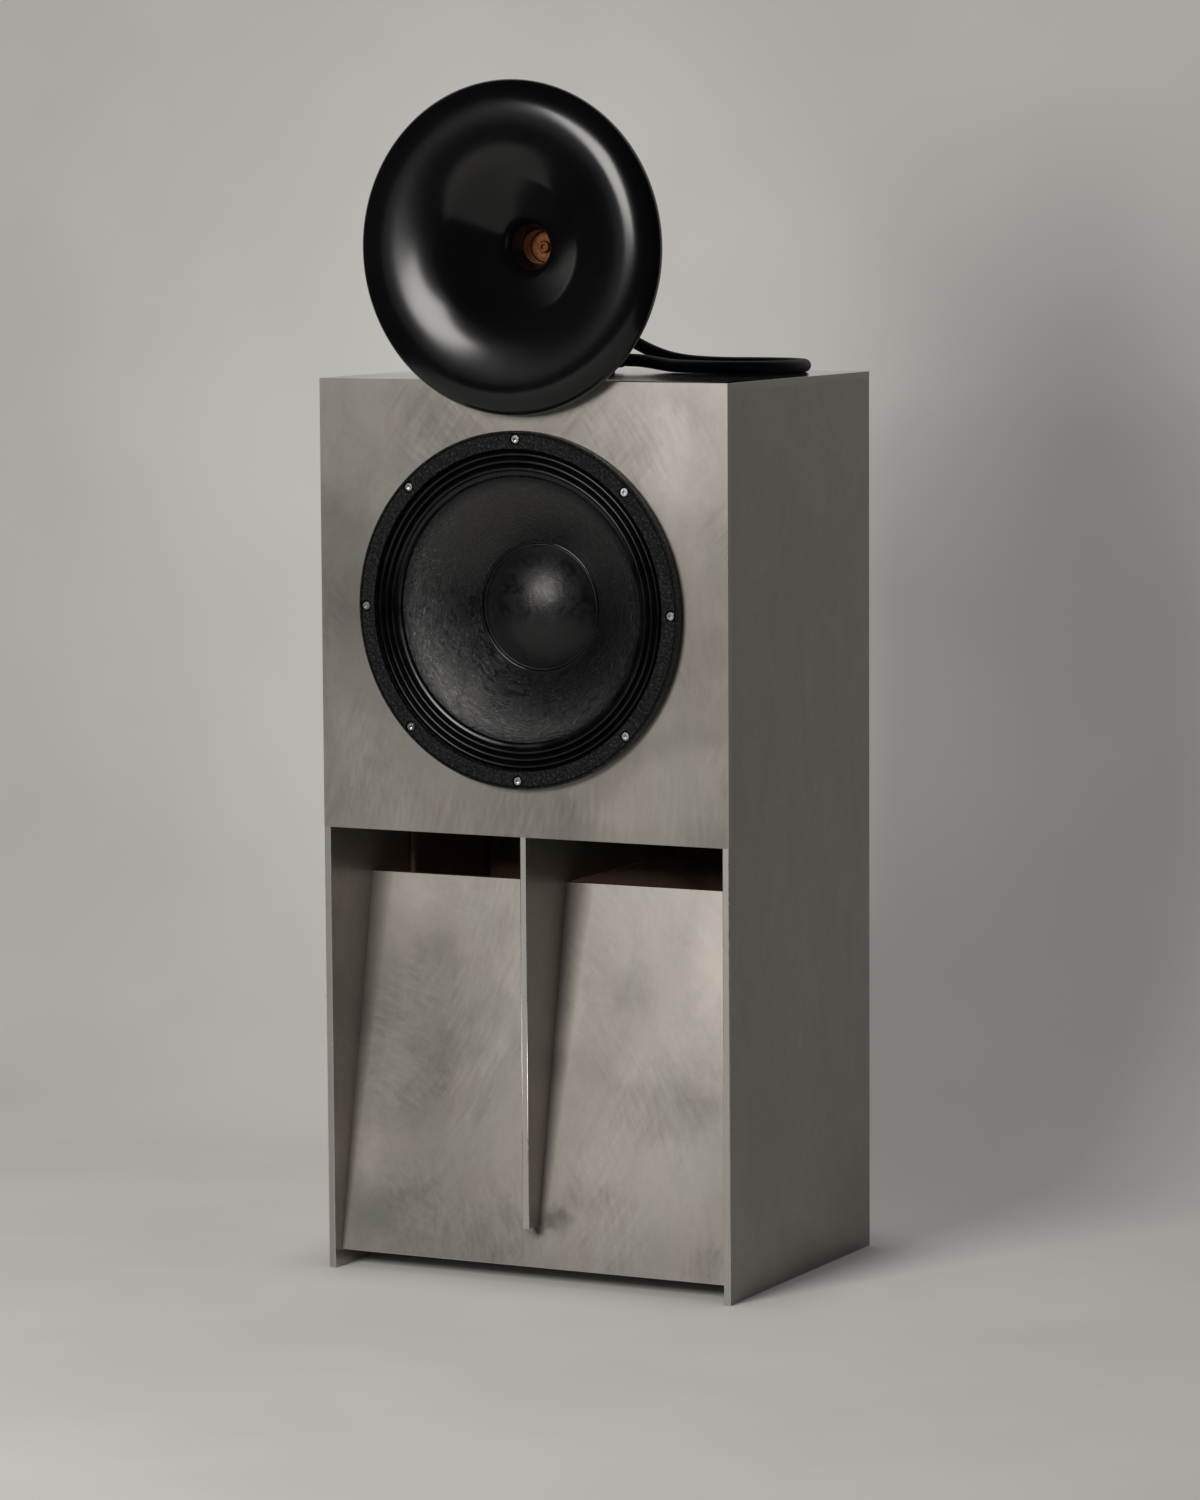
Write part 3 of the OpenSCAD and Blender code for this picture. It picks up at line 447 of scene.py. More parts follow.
def crinkle_finish(edge):
    """Black wrinkle paint on the cast frame, with pale flecks as painted glints, the painted shade of a
    turned groove just inside its outer edge, and a painted sheen on that edge.

    edge is the radius of that outer edge.
    """
    s = Shader("frame_crinkle")
    reach = s.reach(WOOFER_Z)
    warp = s.noise(s.place, 330.0, detail=2.0)
    folds = s.node("ShaderNodeTexVoronoi", {
        "Vector": s.vector("ADD", s.place, s.vector("SCALE", s.joined(warp, warp, warp), scale=0.004)),
        "Scale": 300.0}, feature="SMOOTH_F1").outputs["Distance"]
    fine = s.noise(s.place, 330.0, detail=3.0, roughness=0.7)
    # A dark ring just inside the edge: the painted shade of a groove
    inside = s.span(reach, edge - 4.2 * MM, edge - 3.6 * MM)
    outside = s.span(reach, edge - 1.8 * MM, edge - 2.4 * MM)
    groove_shade = s.math("MULTIPLY", inside, outside)
    # A paler ring on the outermost half millimetre of the edge: painted sheen
    side = s.span(reach, edge - 0.5 * MM, edge - 0.1 * MM)
    height = s.math("ADD", s.math("MULTIPLY", folds, 0.9), s.math("MULTIPLY", fine, 0.9))
    wear = s.noise(s.place, 30.0, detail=3.0)
    colour = s.mix(s.span(wear, 0.35, 0.7), (0.0035, 0.0035, 0.004), (0.008, 0.008, 0.0085))
    # Pale flecks where the fine texture is high: painted glints on the wrinkles
    colour = s.mix(s.span(fine, 0.50, 0.64), colour, (0.045, 0.045, 0.045))
    colour = s.mix(groove_shade, colour, (0.001, 0.001, 0.001))
    colour = s.mix(side, colour, (0.085, 0.078, 0.070))
    rough = s.math("ADD", s.span(fine, 0.35, 0.65, 0.62, 0.42), s.math("MULTIPLY", groove_shade, 0.4))
    return s.finish(Base_Color=colour, Roughness=rough, Specular_IOR_Level=0.25,
                    Normal=s.bump(height, 0.0022, strength=0.9))


def paint_finish(name, colour, rough=0.42, grain=420.0, depth=0.00006):
    """Powder coat or moulded plastic: even colour with a fine texture."""
    s = Shader(name)
    fine = s.noise(s.place, grain, detail=3.0, roughness=0.6)
    cloud = s.noise(s.place, 18.0, detail=2.0)
    tint = s.mix(s.span(cloud, 0.3, 0.7), colour, tuple(min(1.0, c * 1.35 + 0.002) for c in colour))
    roughness = s.span(cloud, 0.3, 0.7, rough - 0.04, rough + 0.05)
    return s.finish(Base_Color=tint, Roughness=roughness, Normal=s.bump(fine, depth, strength=0.6))


def cone_finish():
    """Doped paper cone: long pressed fibres that lie round the cone, under a thin gloss."""
    s = Shader("cone_fibre")
    reach = s.reach(WOOFER_Z)
    swirl = s.math("ADD", s.bearing(WOOFER_Z), s.math("MULTIPLY", s.noise(s.place, 26.0, detail=2.0), 0.7))
    round_cone = s.joined(s.math("MULTIPLY", reach, 230.0), s.math("MULTIPLY", swirl, 8.0), 0.0)
    strands = s.noise(round_cone, 1.3, detail=5.0, roughness=0.65, distortion=1.6)
    felt = s.noise(s.place, 260.0, detail=4.0, roughness=0.65, distortion=2.0)
    rings = s.noise(s.joined(s.math("MULTIPLY", reach, 900.0), 0.0, 0.0), 1.0, detail=1.0)
    height = s.math("ADD", strands, s.math("MULTIPLY", felt, 0.8))
    height = s.math("ADD", height, s.math("MULTIPLY", rings, 0.10))
    rough = s.span(strands, 0.40, 0.60, 0.15, 0.36)
    gloss = s.span(reach, 0.130, 0.147, 1.0, 0.3)
    colour = s.mix(s.span(felt, 0.35, 0.7), (0.0020, 0.0020, 0.0024), (0.0055, 0.0055, 0.0062))
    return s.finish(Base_Color=colour, Roughness=rough, Specular_IOR_Level=gloss,
                    Normal=s.bump(height, 0.0008, strength=0.8))


def cap_finish():
    """The dust cap: smoother doped paper with a satin sheen and faint swirls."""
    s = Shader("dust_cap_satin")
    swirl = s.noise(s.place, 34.0, detail=3.0, distortion=2.5)
    felt = s.noise(s.place, 300.0, detail=3.0, roughness=0.6, distortion=1.0)
    rough = s.span(swirl, 0.35, 0.65, 0.31, 0.42)
    colour = s.mix(s.span(swirl, 0.35, 0.7), (0.004, 0.004, 0.0046), (0.009, 0.009, 0.010))
    height = s.math("ADD", s.math("MULTIPLY", felt, 0.6), s.math("MULTIPLY", swirl, 0.9))
    return s.finish(Base_Color=colour, Roughness=rough, Specular_IOR_Level=0.6,
                    Normal=s.bump(height, 0.0006, strength=0.5))


def cloth_finish(name, colour, rough, weave, relief=0.00015):
    """Woven cloth, doped or bare: a fine square weave."""
    s = Shader(name)
    warp = s.node("ShaderNodeTexWave", {"Vector": s.place, "Scale": weave, "Distortion": 0.6},
                  bands_direction="X").outputs["Fac"]
    weft = s.node("ShaderNodeTexWave", {"Vector": s.place, "Scale": weave, "Distortion": 0.6},
                  bands_direction="Z").outputs["Fac"]
    cloud = s.noise(s.place, 40.0, detail=3.0)
    threads = s.math("MAXIMUM", warp, weft)
    tint = s.mix(s.span(cloud, 0.3, 0.7), colour, tuple(c * 1.6 + 0.001 for c in colour))
    return s.finish(Base_Color=tint, Roughness=s.span(cloud, 0.3, 0.7, rough - 0.05, rough + 0.07),
                    Normal=s.bump(threads, relief, strength=0.5))


def felt_finish():
    """Reddish brown recycled felt with a fuzzy face."""
    s = Shader("felt_lining")
    fuzz = s.noise(s.place, 420.0, detail=5.0, roughness=0.7, distortion=1.0)
    cloud = s.noise(s.place, 14.0, detail=3.0)
    tint = s.mix(s.span(cloud, 0.3, 0.7), (0.42, 0.25, 0.16), (0.55, 0.34, 0.23))
    return s.finish(Base_Color=tint, Roughness=s.span(fuzz, 0.3, 0.7, 0.85, 0.98), Sheen_Weight=0.2,
                    Normal=s.bump(fuzz, 0.0012, strength=0.8))


def sleeve_finish():
    """Braided cable sleeve: fine threads in each strand of the braid."""
    s = Shader("braided_sleeve")
    threads = s.noise(s.scaled(1.0, 1.0, 1.6), 1500.0, detail=3.0, roughness=0.6)
    cloud = s.noise(s.place, 50.0, detail=2.0)
    tint = s.mix(s.span(cloud, 0.3, 0.7), (0.004, 0.004, 0.0045), (0.010, 0.010, 0.011))
    return s.finish(Base_Color=tint, Roughness=s.span(threads, 0.3, 0.7, 0.45, 0.65),
                    Sheen_Weight=0.08, Normal=s.bump(threads, 0.00025, strength=0.6))


def copper_finish():
    """The copper cup behind the throat: turned, with concentric tool marks.

    Its wall is painted paler and is less metallic than its floor: painted light, so that it shows in the
    throat's shade.
    """
    s = Shader("turned_copper")
    reach = s.reach(HORN_Z)
    marks = s.noise(s.joined(s.math("MULTIPLY", reach, 5200.0), 0.0, 0.0), 1.0, detail=1.0)
    tarnish = s.noise(s.place, 170.0, detail=3.0)
    tint = s.mix(s.span(tarnish, 0.3, 0.7), (0.17, 0.068, 0.028), (0.11, 0.045, 0.02))
    # The wall is painted paler: painted light where the throat shades it
    lit_wall = s.span(reach, THROAT_R - 0.6 * MM, THROAT_R - 0.2 * MM)
    tint = s.mix(lit_wall, tint, (0.60, 0.32, 0.19))
    return s.finish(Base_Color=tint, Metallic=s.span(lit_wall, 0.0, 1.0, 1.0, 0.1),
                    Roughness=s.span(tarnish, 0.3, 0.7, 0.46, 0.58),
                    Normal=s.bump(marks, 0.00004, strength=0.5))


def winding_finish(name, colour):
    """Enamelled wire laid turn on turn."""
    s = Shader(name)
    lay = s.node("ShaderNodeTexWave", {"Vector": s.place, "Scale": 260.0, "Distortion": 0.4},
                 bands_direction="Y").outputs["Fac"]
    cloud = s.noise(s.place, 60.0, detail=2.0)
    tint = s.mix(s.span(cloud, 0.3, 0.7), colour, tuple(c * 0.6 for c in colour))
    return s.finish(Base_Color=tint, Metallic=0.8, Roughness=s.span(lay, 0.1, 0.9, 0.25, 0.4),
                    Normal=s.bump(lay, 0.0004, strength=0.7))


def board_finish(name, colour):
    """Glass fibre laminate with its weave just showing."""
    s = Shader(name)
    weave = s.node("ShaderNodeTexWave", {"Vector": s.place, "Scale": 420.0, "Distortion": 1.0},
                   bands_direction="X").outputs["Fac"]
    cloud = s.noise(s.place, 26.0, detail=3.0)
    tint = s.mix(s.span(cloud, 0.3, 0.7), colour, tuple(c * 1.5 for c in colour))
    return s.finish(Base_Color=tint, Roughness=s.span(cloud, 0.3, 0.7, 0.3, 0.42), Coat_Weight=0.3,
                    Normal=s.bump(weave, 0.00008, strength=0.4))


BODY_OF = {node: body for body, nodes in frame["record"]["behaviour"]["bodies"].items() for node in nodes}
SLOT_OF = {part["node"]: part["material_slot"] for part in frame["record"]["subparts"]}


def dress_piece(piece, body, slot, material, *stands_for):
    """Gives a piece that this script makes its body, finish and the nodes it stands for. Its slot argument is
    not used.
    """
    if body:
        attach(piece, body)
    if stands_for:
        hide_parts(*stands_for)
    piece.data.materials.clear()
    piece.data.materials.append(material)
    return piece


WELD = 0.01 * MM
FLAT_WITHIN = 0.5
SHARP_OVER = math.radians(38)
TOUCHING = 0.3 * MM


def node_mesh(node):
    """A welded copy of a node's mesh, with flat areas as single faces."""
    mesh = bmesh.new()
    mesh.from_mesh(frame["nodes"][node].data)
    bmesh.ops.remove_doubles(mesh, verts=mesh.verts, dist=WELD)
    bmesh.ops.dissolve_limit(mesh, angle_limit=math.radians(FLAT_WITHIN), verts=mesh.verts,
                             edges=mesh.edges)
    return mesh


def keep_flush(mesh, neighbours):
    """Marks for rounding only the sharp edges that no neighbour touches."""
    weight = mesh.edges.layers.float.new("bevel_weight_edge")
    trees = []
    for other in neighbours:
        near = node_mesh(other)
        trees.append(BVHTree.FromBMesh(near))
        near.free()
    for edge in mesh.edges:
        if edge.calc_face_angle(0) < SHARP_OVER:
            continue
        middle = (edge.verts[0].co + edge.verts[1].co) / 2
        gaps = [tree.find_nearest(middle)[3] for tree in trees]
        edge[weight] = 0.0 if min(gaps) < TOUCHING else 1.0


def dressed(node, material, bevel, worn=None, neighbours=()):
    """A piece in a node's own shape with slightly rounded edges, which stands for the node.

    worn is another material, for the rounded edges alone. An edge that touches
    one of the neighbours stays sharp.
    """
    mesh = node_mesh(node)
    if neighbours:
        keep_flush(mesh, neighbours)
    data = bpy.data.meshes.new(node + "_dressed")
    mesh.to_mesh(data)
    mesh.free()
    data.shade_smooth()
    data.set_sharp_from_angle(angle=SHARP_OVER)
    piece = bpy.data.objects.new(node + "_dressed", data)
    bpy.context.scene.collection.objects.link(piece)
    edge = piece.modifiers.new("bevel", "BEVEL")
    edge.width = bevel
    edge.segments = 2
    edge.limit_method = "WEIGHT" if neighbours else "ANGLE"
    edge.angle_limit = SHARP_OVER
    edge.harden_normals = True
    edge.use_clamp_overlap = True
    edge.material = 1 if worn else -1
    dress_piece(piece, BODY_OF[node], SLOT_OF[node], material, node)
    if worn:
        piece.data.materials.append(worn)
    return piece


def finish_node(node, material):
    """Gives a CAD node that keeps its own solid a material."""
    frame["nodes"][node].data.materials.clear()
    frame["nodes"][node].data.materials.append(material)


# Cabinet plates: stains and painted light are (across, up, half width, half height, amount), in metres; the
# large ones are painted highlight and painted shade

PLATE_EDGE = 0.9 * MM
BAFFLE_STAINS_AND_PAINTED_LIGHT = (
    (0.177, 0.903, 0.06, 0.09, 0.26), (0.20, 0.84, 0.05, 0.10, 0.12), (0.20, 0.965, 0.07, 0.03, -0.10),
    (-0.214, 0.592, 0.05, 0.06, 0.12), (0.215, 0.690, 0.05, 0.06, -0.08), (0.118, 0.545, 0.09, 0.04, 0.10),
    (-0.20, 0.86, 0.07, 0.12, -0.06), (-0.32, 0.86, 0.30, 0.30, -0.10), (0.26, 0.60, 0.30, 0.24, 0.16),
    (0.26, 0.90, 0.30, 0.30, 0.12), (-0.10, 0.50, 0.30, 0.13, 0.12), (0.19, 0.54, 0.10, 0.10, 0.08),
)
RAMP_STAINS_AND_PAINTED_LIGHT = (
    (-0.180, 0.415, 0.05, 0.04, 0.10), (-0.150, 0.350, 0.05, 0.04, -0.14), (-0.050, 0.300, 0.035, 0.12, 0.18),
    (-0.145, 0.235, 0.05, 0.13, -0.16), (-0.215, 0.120, 0.03, 0.06, 0.14), (-0.180, 0.065, 0.07, 0.05, -0.10),
    (0.018, 0.300, 0.022, 0.16, 0.14), (0.200, 0.360, 0.045, 0.12, 0.16), (0.093, 0.318, 0.05, 0.04, -0.14),
    (0.190, 0.215, 0.05, 0.04, -0.16), (0.125, 0.250, 0.05, 0.04, 0.12), (0.010, 0.060, 0.026, 0.026, -0.42),
    (0.045, 0.090, 0.035, 0.030, -0.16), (0.216, 0.040, 0.04, 0.03, -0.12), (0.120, 0.100, 0.12, 0.10, 0.20),
    (-0.040, 0.070, 0.05, 0.03, -0.08),
)
# Colours for sawn narrow sides, painted lighter as if catching the lamp: painted light
SAWN_AND_LIT = (0.82, 0.79, 0.75)
SAWN_AND_DIMLY_LIT = (0.62, 0.59, 0.55)
# light on a plate is painted light or shade for that whole plate
PLATES = {
    "front_baffle": dict(flat=(X, Z), seed=1.0, light=1.08, arcs=((-0.46, 0.54), (0.9, 0.2)),
                         stains_and_painted_light=BAFFLE_STAINS_AND_PAINTED_LIGHT),
    "ramp_panel": dict(flat=(X, Z), seed=2.3, arcs=((-0.29, -0.03), (-0.6, 0.5)),
                       stains_and_painted_light=RAMP_STAINS_AND_PAINTED_LIGHT, rough=0.38),
    "side_plate_right": dict(flat=(Y, Z), seed=3.1, light=0.73, narrow=SAWN_AND_LIT, arcs=((0.7, 0.1),)),
    "side_plate_left": dict(flat=(Y, Z), seed=4.7, light=1.25, narrow=SAWN_AND_DIMLY_LIT, arcs=((0.7, 1.2),)),
    "centre_fin": dict(flat=(Y, Z), seed=5.2, light=1.35, narrow=SAWN_AND_LIT, arcs=((-0.6, 0.4),)),
    "top_plate": dict(flat=(X, Y), seed=6.4, arcs=((0.4, 0.8),)),
    "back_plate": dict(flat=(X, Z), seed=7.9, arcs=((0.7, 0.4), (-0.6, 0.2))),
    "bottom_plate": dict(flat=(X, Y), seed=8.6, arcs=((0.4, 0.8),)),
}
BURNISHED = steel_finish("burnished_edge", (0.95, 0.93, 0.89), rough=0.27)
for node, settings in PLATES.items():
    others = [other for other in PLATES if other != node]
    aluminium = plate_finish(node + "_aluminium", **settings)
    dressed(node, aluminium, PLATE_EDGE, worn=BURNISHED, neighbours=others)


# Horn: the same roll, knee, flank, flare and lip as the solid, far finer

CREST_R = 145 * MM
BELL_DEPTH = 84.5 * MM
ROLL_R = 141 * MM
KNEE_TILT = 22.4
KNEE_R = 67 * MM
FLANK_TILT = 38.4
FLARE_R = 38 * MM
FLARE_TILT = 71.5
LIP_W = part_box("horn")[1].x - CREST_R
LIP_FRONT = 20.5 * MM
LIP_BACK = 12 * MM
HORN_WALL = 4 * MM
FLANGE_R = 62 * MM
FLANGE_T = 10 * MM
FLANGE_EDGE = 0.6 * MM
CREST_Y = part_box("horn")[0].y
THROAT_Y = CREST_Y + BELL_DEPTH
WIDEST_Y = CREST_Y + LIP_FRONT


def bend_from(at, radius, start, end, steps):
    """Points on an arc that goes inward from a point and whose tilt grows."""
    low = math.radians(start)
    return [(at[0] + radius * (math.sin(low) - math.sin(a)), at[1] + radius * (math.cos(low) - math.cos(a)))
            for a in np.radians(np.linspace(start, end, steps + 1)[1:])]


def bell_line():
    """The bell's front face from the throat out to the crest."""
    steep = math.tan(math.radians(FLARE_TILT))
    even = math.tan(math.radians(FLANK_TILT))
    roll = bend_from((CREST_R, CREST_Y), ROLL_R, 0, KNEE_TILT, 36)
    knee = bend_from(roll[-1], KNEE_R, KNEE_TILT, FLANK_TILT, 20)
    edge_r, edge_y = knee[-1]
    turn = bend_from((0, 0), FLARE_R, FLANK_TILT, FLARE_TILT, 30)
    waist_r = ((THROAT_Y - edge_y - turn[-1][1] - edge_r * even + (THROAT_R - turn[-1][0]) * steep)
               / (steep - even))
    waist = (waist_r, edge_y + (edge_r - waist_r) * even)
    flank = [tuple(np.array(knee[-1]) * (1 - t) + np.array(waist) * t) for t in np.linspace(0, 1, 13)[1:]]
    flare = [(waist[0] + r, waist[1] + y) for r, y in turn]
    neck = [tuple(np.array(flare[-1]) * (1 - t) + np.array((THROAT_R, THROAT_Y)) * t)
            for t in np.linspace(0, 1, 7)[1:]]
    return list(reversed([(CREST_R, CREST_Y)] + roll + knee + flank + flare + neck))


def lip_point(degrees):
    """A point of the lip, from 0 degrees at the crest to 90 at the widest circle."""
    a = math.radians(degrees)
    return CREST_R + LIP_W * math.sin(a), WIDEST_Y - LIP_FRONT * math.cos(a)


def inner_offset(line, distance):
    """A line moved sideways by a distance, to its right as it is walked."""
    p = np.array(line)
    t = np.gradient(p, axis=0)
    t /= np.linalg.norm(t, axis=1)[:, None]
    return [tuple(q) for q in p - distance * np.stack([t[:, 1], -t[:, 0]], axis=1)]


def make_horn():
    """The bell with its lip, and the flange behind it, as one turned piece."""
    roll_end = 90 + math.degrees(math.asin(LIP_BACK / LIP_FRONT))
    front = bell_line()
    front += [lip_point(a) for a in np.linspace(0, roll_end, 48)[1:]]
    behind = [p for p in reversed(inner_offset(front, HORN_WALL)) if p[1] < THROAT_Y - FLANGE_T]
    corner = behind[-1][0]
    flange_y = THROAT_Y - FLANGE_T
    flange = [(corner, flange_y), (FLANGE_R - FLANGE_EDGE, flange_y), (FLANGE_R, flange_y + FLANGE_EDGE),
              (FLANGE_R, THROAT_Y)]
    horn = turned("horn_bell", front + behind + flange, HORN_Z, steps=256)
    return dress_piece(horn, "cabinet", "horn_black", lacquer_finish(), "horn")


make_horn()


# Woofer: cone, dust cap, glue, surround, spider and gasket, and the diaphragm's soft rim

CONE_R = 150 * MM
NECK_R = 51.9 * MM
RIM_Y = deep(-4.5)
CONE_DEPTH = 68.5 * MM
CONE_RIM_SLOPE = 0.45
PAPER_T = 1.2 * MM
RIM_FLAT = 5 * MM
CAP_R = 69 * MM
CAP_T = 0.8 * MM
CAP_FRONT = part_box("dust_cap")[0].y
LIP_R = 175 * MM
COIL_R = 54.5 * MM
GASKET_IN = 176 * MM
ROLL_OUT = 173 * MM
ROLLS = 3
ROLL_H = 4.6 * MM
CLOTH_T = 1 * MM
SPIDER_IN = 60 * MM
SPIDER_OUT = 88 * MM
SPIDER_ROLLS = 6
SPIDER_H = 2.3 * MM
SPIDER_T = 0.6 * MM
DOME_EDGE_R = 38.4 * MM
SOFT_IN = 39 * MM
SOFT_OUT = 45.5 * MM
SOFT_H = 0.4 * MM
SOFT_T = 0.3 * MM


def cone_y(radius):
    """The y of the cone's front face at a radius."""
    x = (CONE_R - radius) / (CONE_R - NECK_R)
    return RIM_Y + CONE_DEPTH * (CONE_RIM_SLOPE * x + (1 - CONE_RIM_SLOPE) * x * x)


def make_cone():
    """The paper cone, with a flat rim that the surround is glued to."""
    radii = np.linspace(NECK_R, CONE_R - RIM_FLAT - 1 * MM, 60)
    front = [(r, cone_y(r)) for r in radii] + [(CONE_R - RIM_FLAT, RIM_Y), (CONE_R, RIM_Y)]
    back = [(CONE_R, RIM_Y + PAPER_T)] + [(r, cone_y(r) + PAPER_T) for r in radii[::-1]]
    cone = turned("cone_paper", front + back, WOOFER_Z, steps=256)
    return dress_piece(cone, "cone_assembly", "cone_paper", cone_finish(), "woofer_cone")


def make_cap():
    """The dust cap: a shallow dome with a small bead round its edge."""
    base = cone_y(CAP_R) - CAP_T
    height = base - CAP_FRONT
    ball = (CAP_R ** 2 + height ** 2) / (2 * height)
    half = math.degrees(math.asin(CAP_R / ball))
    middle = CAP_FRONT + ball
    front = [(ball * math.sin(math.radians(a)), middle - ball * math.cos(math.radians(a)))
             for a in np.linspace(0, half - 1.2, 40)]
    bead = arc((CAP_R - 0.9 * MM, base + 0.2 * MM), 1.0 * MM, 200, 380, 10)
    back = [(CAP_R - 2 * MM, base + CAP_T), (0.0, CAP_FRONT + CAP_T)]
    cap = turned("dust_cap_dome", front + bead + back, WOOFER_Z, sharp=50)
    return dress_piece(cap, "cone_assembly", "cone_paper", cap_finish(), "dust_cap")


def make_glue():
    """The bead of glossy glue that holds the dust cap to the cone."""
    radius = CAP_R + 1.9 * MM
    bead = arc((radius, cone_y(radius)), 1.7 * MM, 150, 390, 14)
    ring = turned("cap_glue", bead, WOOFER_Z, sharp=60)
    glue = paint_finish("glue", (0.004, 0.004, 0.005), rough=0.10)
    return dress_piece(ring, "cone_assembly", "cone_paper", glue)


def rolled_cloth(name, node, material, span, foot, y, rolls, height, cloth, axis_z,
                 sectors=24, power=2.0, fine=8):
    """A ring of rolled cloth, in sectors that each run straight out from the rim.

    span and foot are the radii between which the cloth rolls, and those at
    which its flat feet end. A higher power narrows the rolls. Each sector has
    as many steps as fine says.
    The cloth's innermost STILL_SHARE moves with the rim without stretching.
    """
    inner, outer = span
    steps = max(8, rolls * 20)
    front = [(foot[0], y)]
    front += [(inner + (outer - inner) * i / steps,
               y - height * abs(math.sin(math.pi * rolls * i / steps)) ** power) for i in range(steps + 1)]
    front += [(foot[1], y)]
    back = [(r, h + cloth) for r, h in reversed(front)]
    for k in range(sectors):
        first = k * 360 / sectors
        last = first + 360 / sectors
        sector = turned(f"{name}_{k:02d}", front + back, axis_z, steps=fine, span=(first, last), sharp=70)
        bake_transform(sector)
        dress_piece(sector, None, SLOT_OF[node], material, node)


make_cone()
make_cap()
make_glue()
DOPED = cloth_finish("doped_cloth", (0.0020, 0.0020, 0.0024), rough=0.19, weave=700.0, relief=0.00002)
rolled_cloth("surround", "woofer_surround", DOPED, (CONE_R, ROLL_OUT), (CONE_R - RIM_FLAT, LIP_R),
             RIM_Y - CLOTH_T, ROLLS, ROLL_H, CLOTH_T, WOOFER_Z, power=1.0)
RESIN_CLOTH = cloth_finish("spider_cloth", (0.30, 0.19, 0.07), rough=0.7, weave=500.0)
SPIDER_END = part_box("woofer_spider")[1]
rolled_cloth("spider", "woofer_spider", RESIN_CLOTH, (SPIDER_IN, SPIDER_OUT), (COIL_R, SPIDER_END.x),
             SPIDER_END.y - SPIDER_T, SPIDER_ROLLS, SPIDER_H, SPIDER_T, WOOFER_Z)
SOFT_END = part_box("diaphragm_rim")[1]
rolled_cloth("diaphragm_edge", "diaphragm_rim", RESIN_CLOTH, (SOFT_IN, SOFT_OUT),
             (DOME_EDGE_R, SOFT_END.x), SOFT_END.y - SOFT_T, 1, SOFT_H, SOFT_T, HORN_Z,
             sectors=16, fine=6)


def make_gasket():
    """A flat foam ring, bulging a little from under the flange at both edges."""
    low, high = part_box("woofer_gasket")
    outer, thick = high.x, high.y - low.y
    middle = (low.y + high.y) / 2
    profile = arc((outer - thick / 2, middle), thick / 2, -90, 90, 8)
    profile += arc((GASKET_IN + thick / 2, middle), thick / 2, 90, 270, 8)
    gasket = turned("gasket_foam", profile, WOOFER_Z, steps=256)
    foam = paint_finish("gasket_foam", (0.006, 0.006, 0.006), rough=0.9, grain=1400.0, depth=0.0005)
    return dress_piece(gasket, "cabinet", SLOT_OF["woofer_gasket"], foam, "woofer_gasket")


make_gasket()


# Felt lining

FELT_VOXEL = 4 * MM
FELT_RIPPLE = 0.9 * MM


def make_felt(node, material):
    """A panel of felt from a node's solid: its edges rounded off, its face uneven."""
    mesh = node_mesh(node)
    data = bpy.data.meshes.new(node + "_felt")
    mesh.to_mesh(data)
    mesh.free()
    piece = bpy.data.objects.new(node + "_felt", data)
    bpy.context.scene.collection.objects.link(piece)
    remesh = piece.modifiers.new("remesh", "REMESH")
    remesh.mode = "VOXEL"
    remesh.voxel_size = FELT_VOXEL
    soften = piece.modifiers.new("soften", "SMOOTH")
    soften.iterations = 2
    graph = bpy.context.evaluated_depsgraph_get()
    data = bpy.data.meshes.new_from_object(piece.evaluated_get(graph))
    piece.modifiers.clear()
    piece.data = data
    low, high = (np.array(p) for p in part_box(node))
    for vertex, normal in zip(data.vertices, [n.vector.copy() for n in data.vertex_normals]):
        wave = noise.fractal(vertex.co * 22.0, 1.0, 2.0, 3)
        vertex.co -= normal * FELT_RIPPLE * (0.5 + 0.5 * wave)
        vertex.co = Vector(np.clip(np.array(vertex.co), low, high))
    data.shade_smooth()
    dress_piece(piece, BODY_OF[node], SLOT_OF[node], material, node)
    return piece


FELT = felt_finish()
for node in ("damping_left", "damping_right", "damping_back"):
    make_felt(node, FELT)


# The other nodes keep their own shapes, with rounded edges where they show, and get finishes


CRINKLE = crinkle_finish(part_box("woofer_frame")[1].x)
BRIGHT = steel_finish("bright_steel", (0.88, 0.87, 0.84), rough=0.24)
MACHINED = steel_finish("machined_steel", (0.50, 0.47, 0.43), rough=0.32)
MOTOR = paint_finish("black_plating", (0.020, 0.020, 0.022), rough=0.36)
FERRITE = paint_finish("ferrite_grey", (0.035, 0.035, 0.038), rough=0.62, grain=700.0, depth=0.0003)
COAT = paint_finish("powder_coat", (0.012, 0.012, 0.013), rough=0.46, grain=900.0, depth=0.0002)
RUBBER = paint_finish("cable_rubber", (0.008, 0.008, 0.008), rough=0.55)
SLEEVE = sleeve_finish()
COPPER = copper_finish()
BRASS = steel_finish("gilt_brass", (0.83, 0.60, 0.26), rough=0.2)
LAMINATE = board_finish("terminal_laminate", (0.055, 0.030, 0.016))
BOARD = board_finish("crossover_laminate", (0.018, 0.075, 0.035))
WIRE = winding_finish("enamelled_wire", (0.62, 0.24, 0.09))
FILM = paint_finish("capacitor_film", (0.52, 0.40, 0.20), rough=0.25, grain=120.0)
KNOB_BLACK = paint_finish("black_knob", (0.012, 0.012, 0.012), rough=0.28, grain=240.0)
KNOB_RED = paint_finish("red_knob", (0.35, 0.010, 0.012), rough=0.28, grain=240.0)
DOME = steel_finish("dome_foil", (0.85, 0.85, 0.85), rough=0.18)

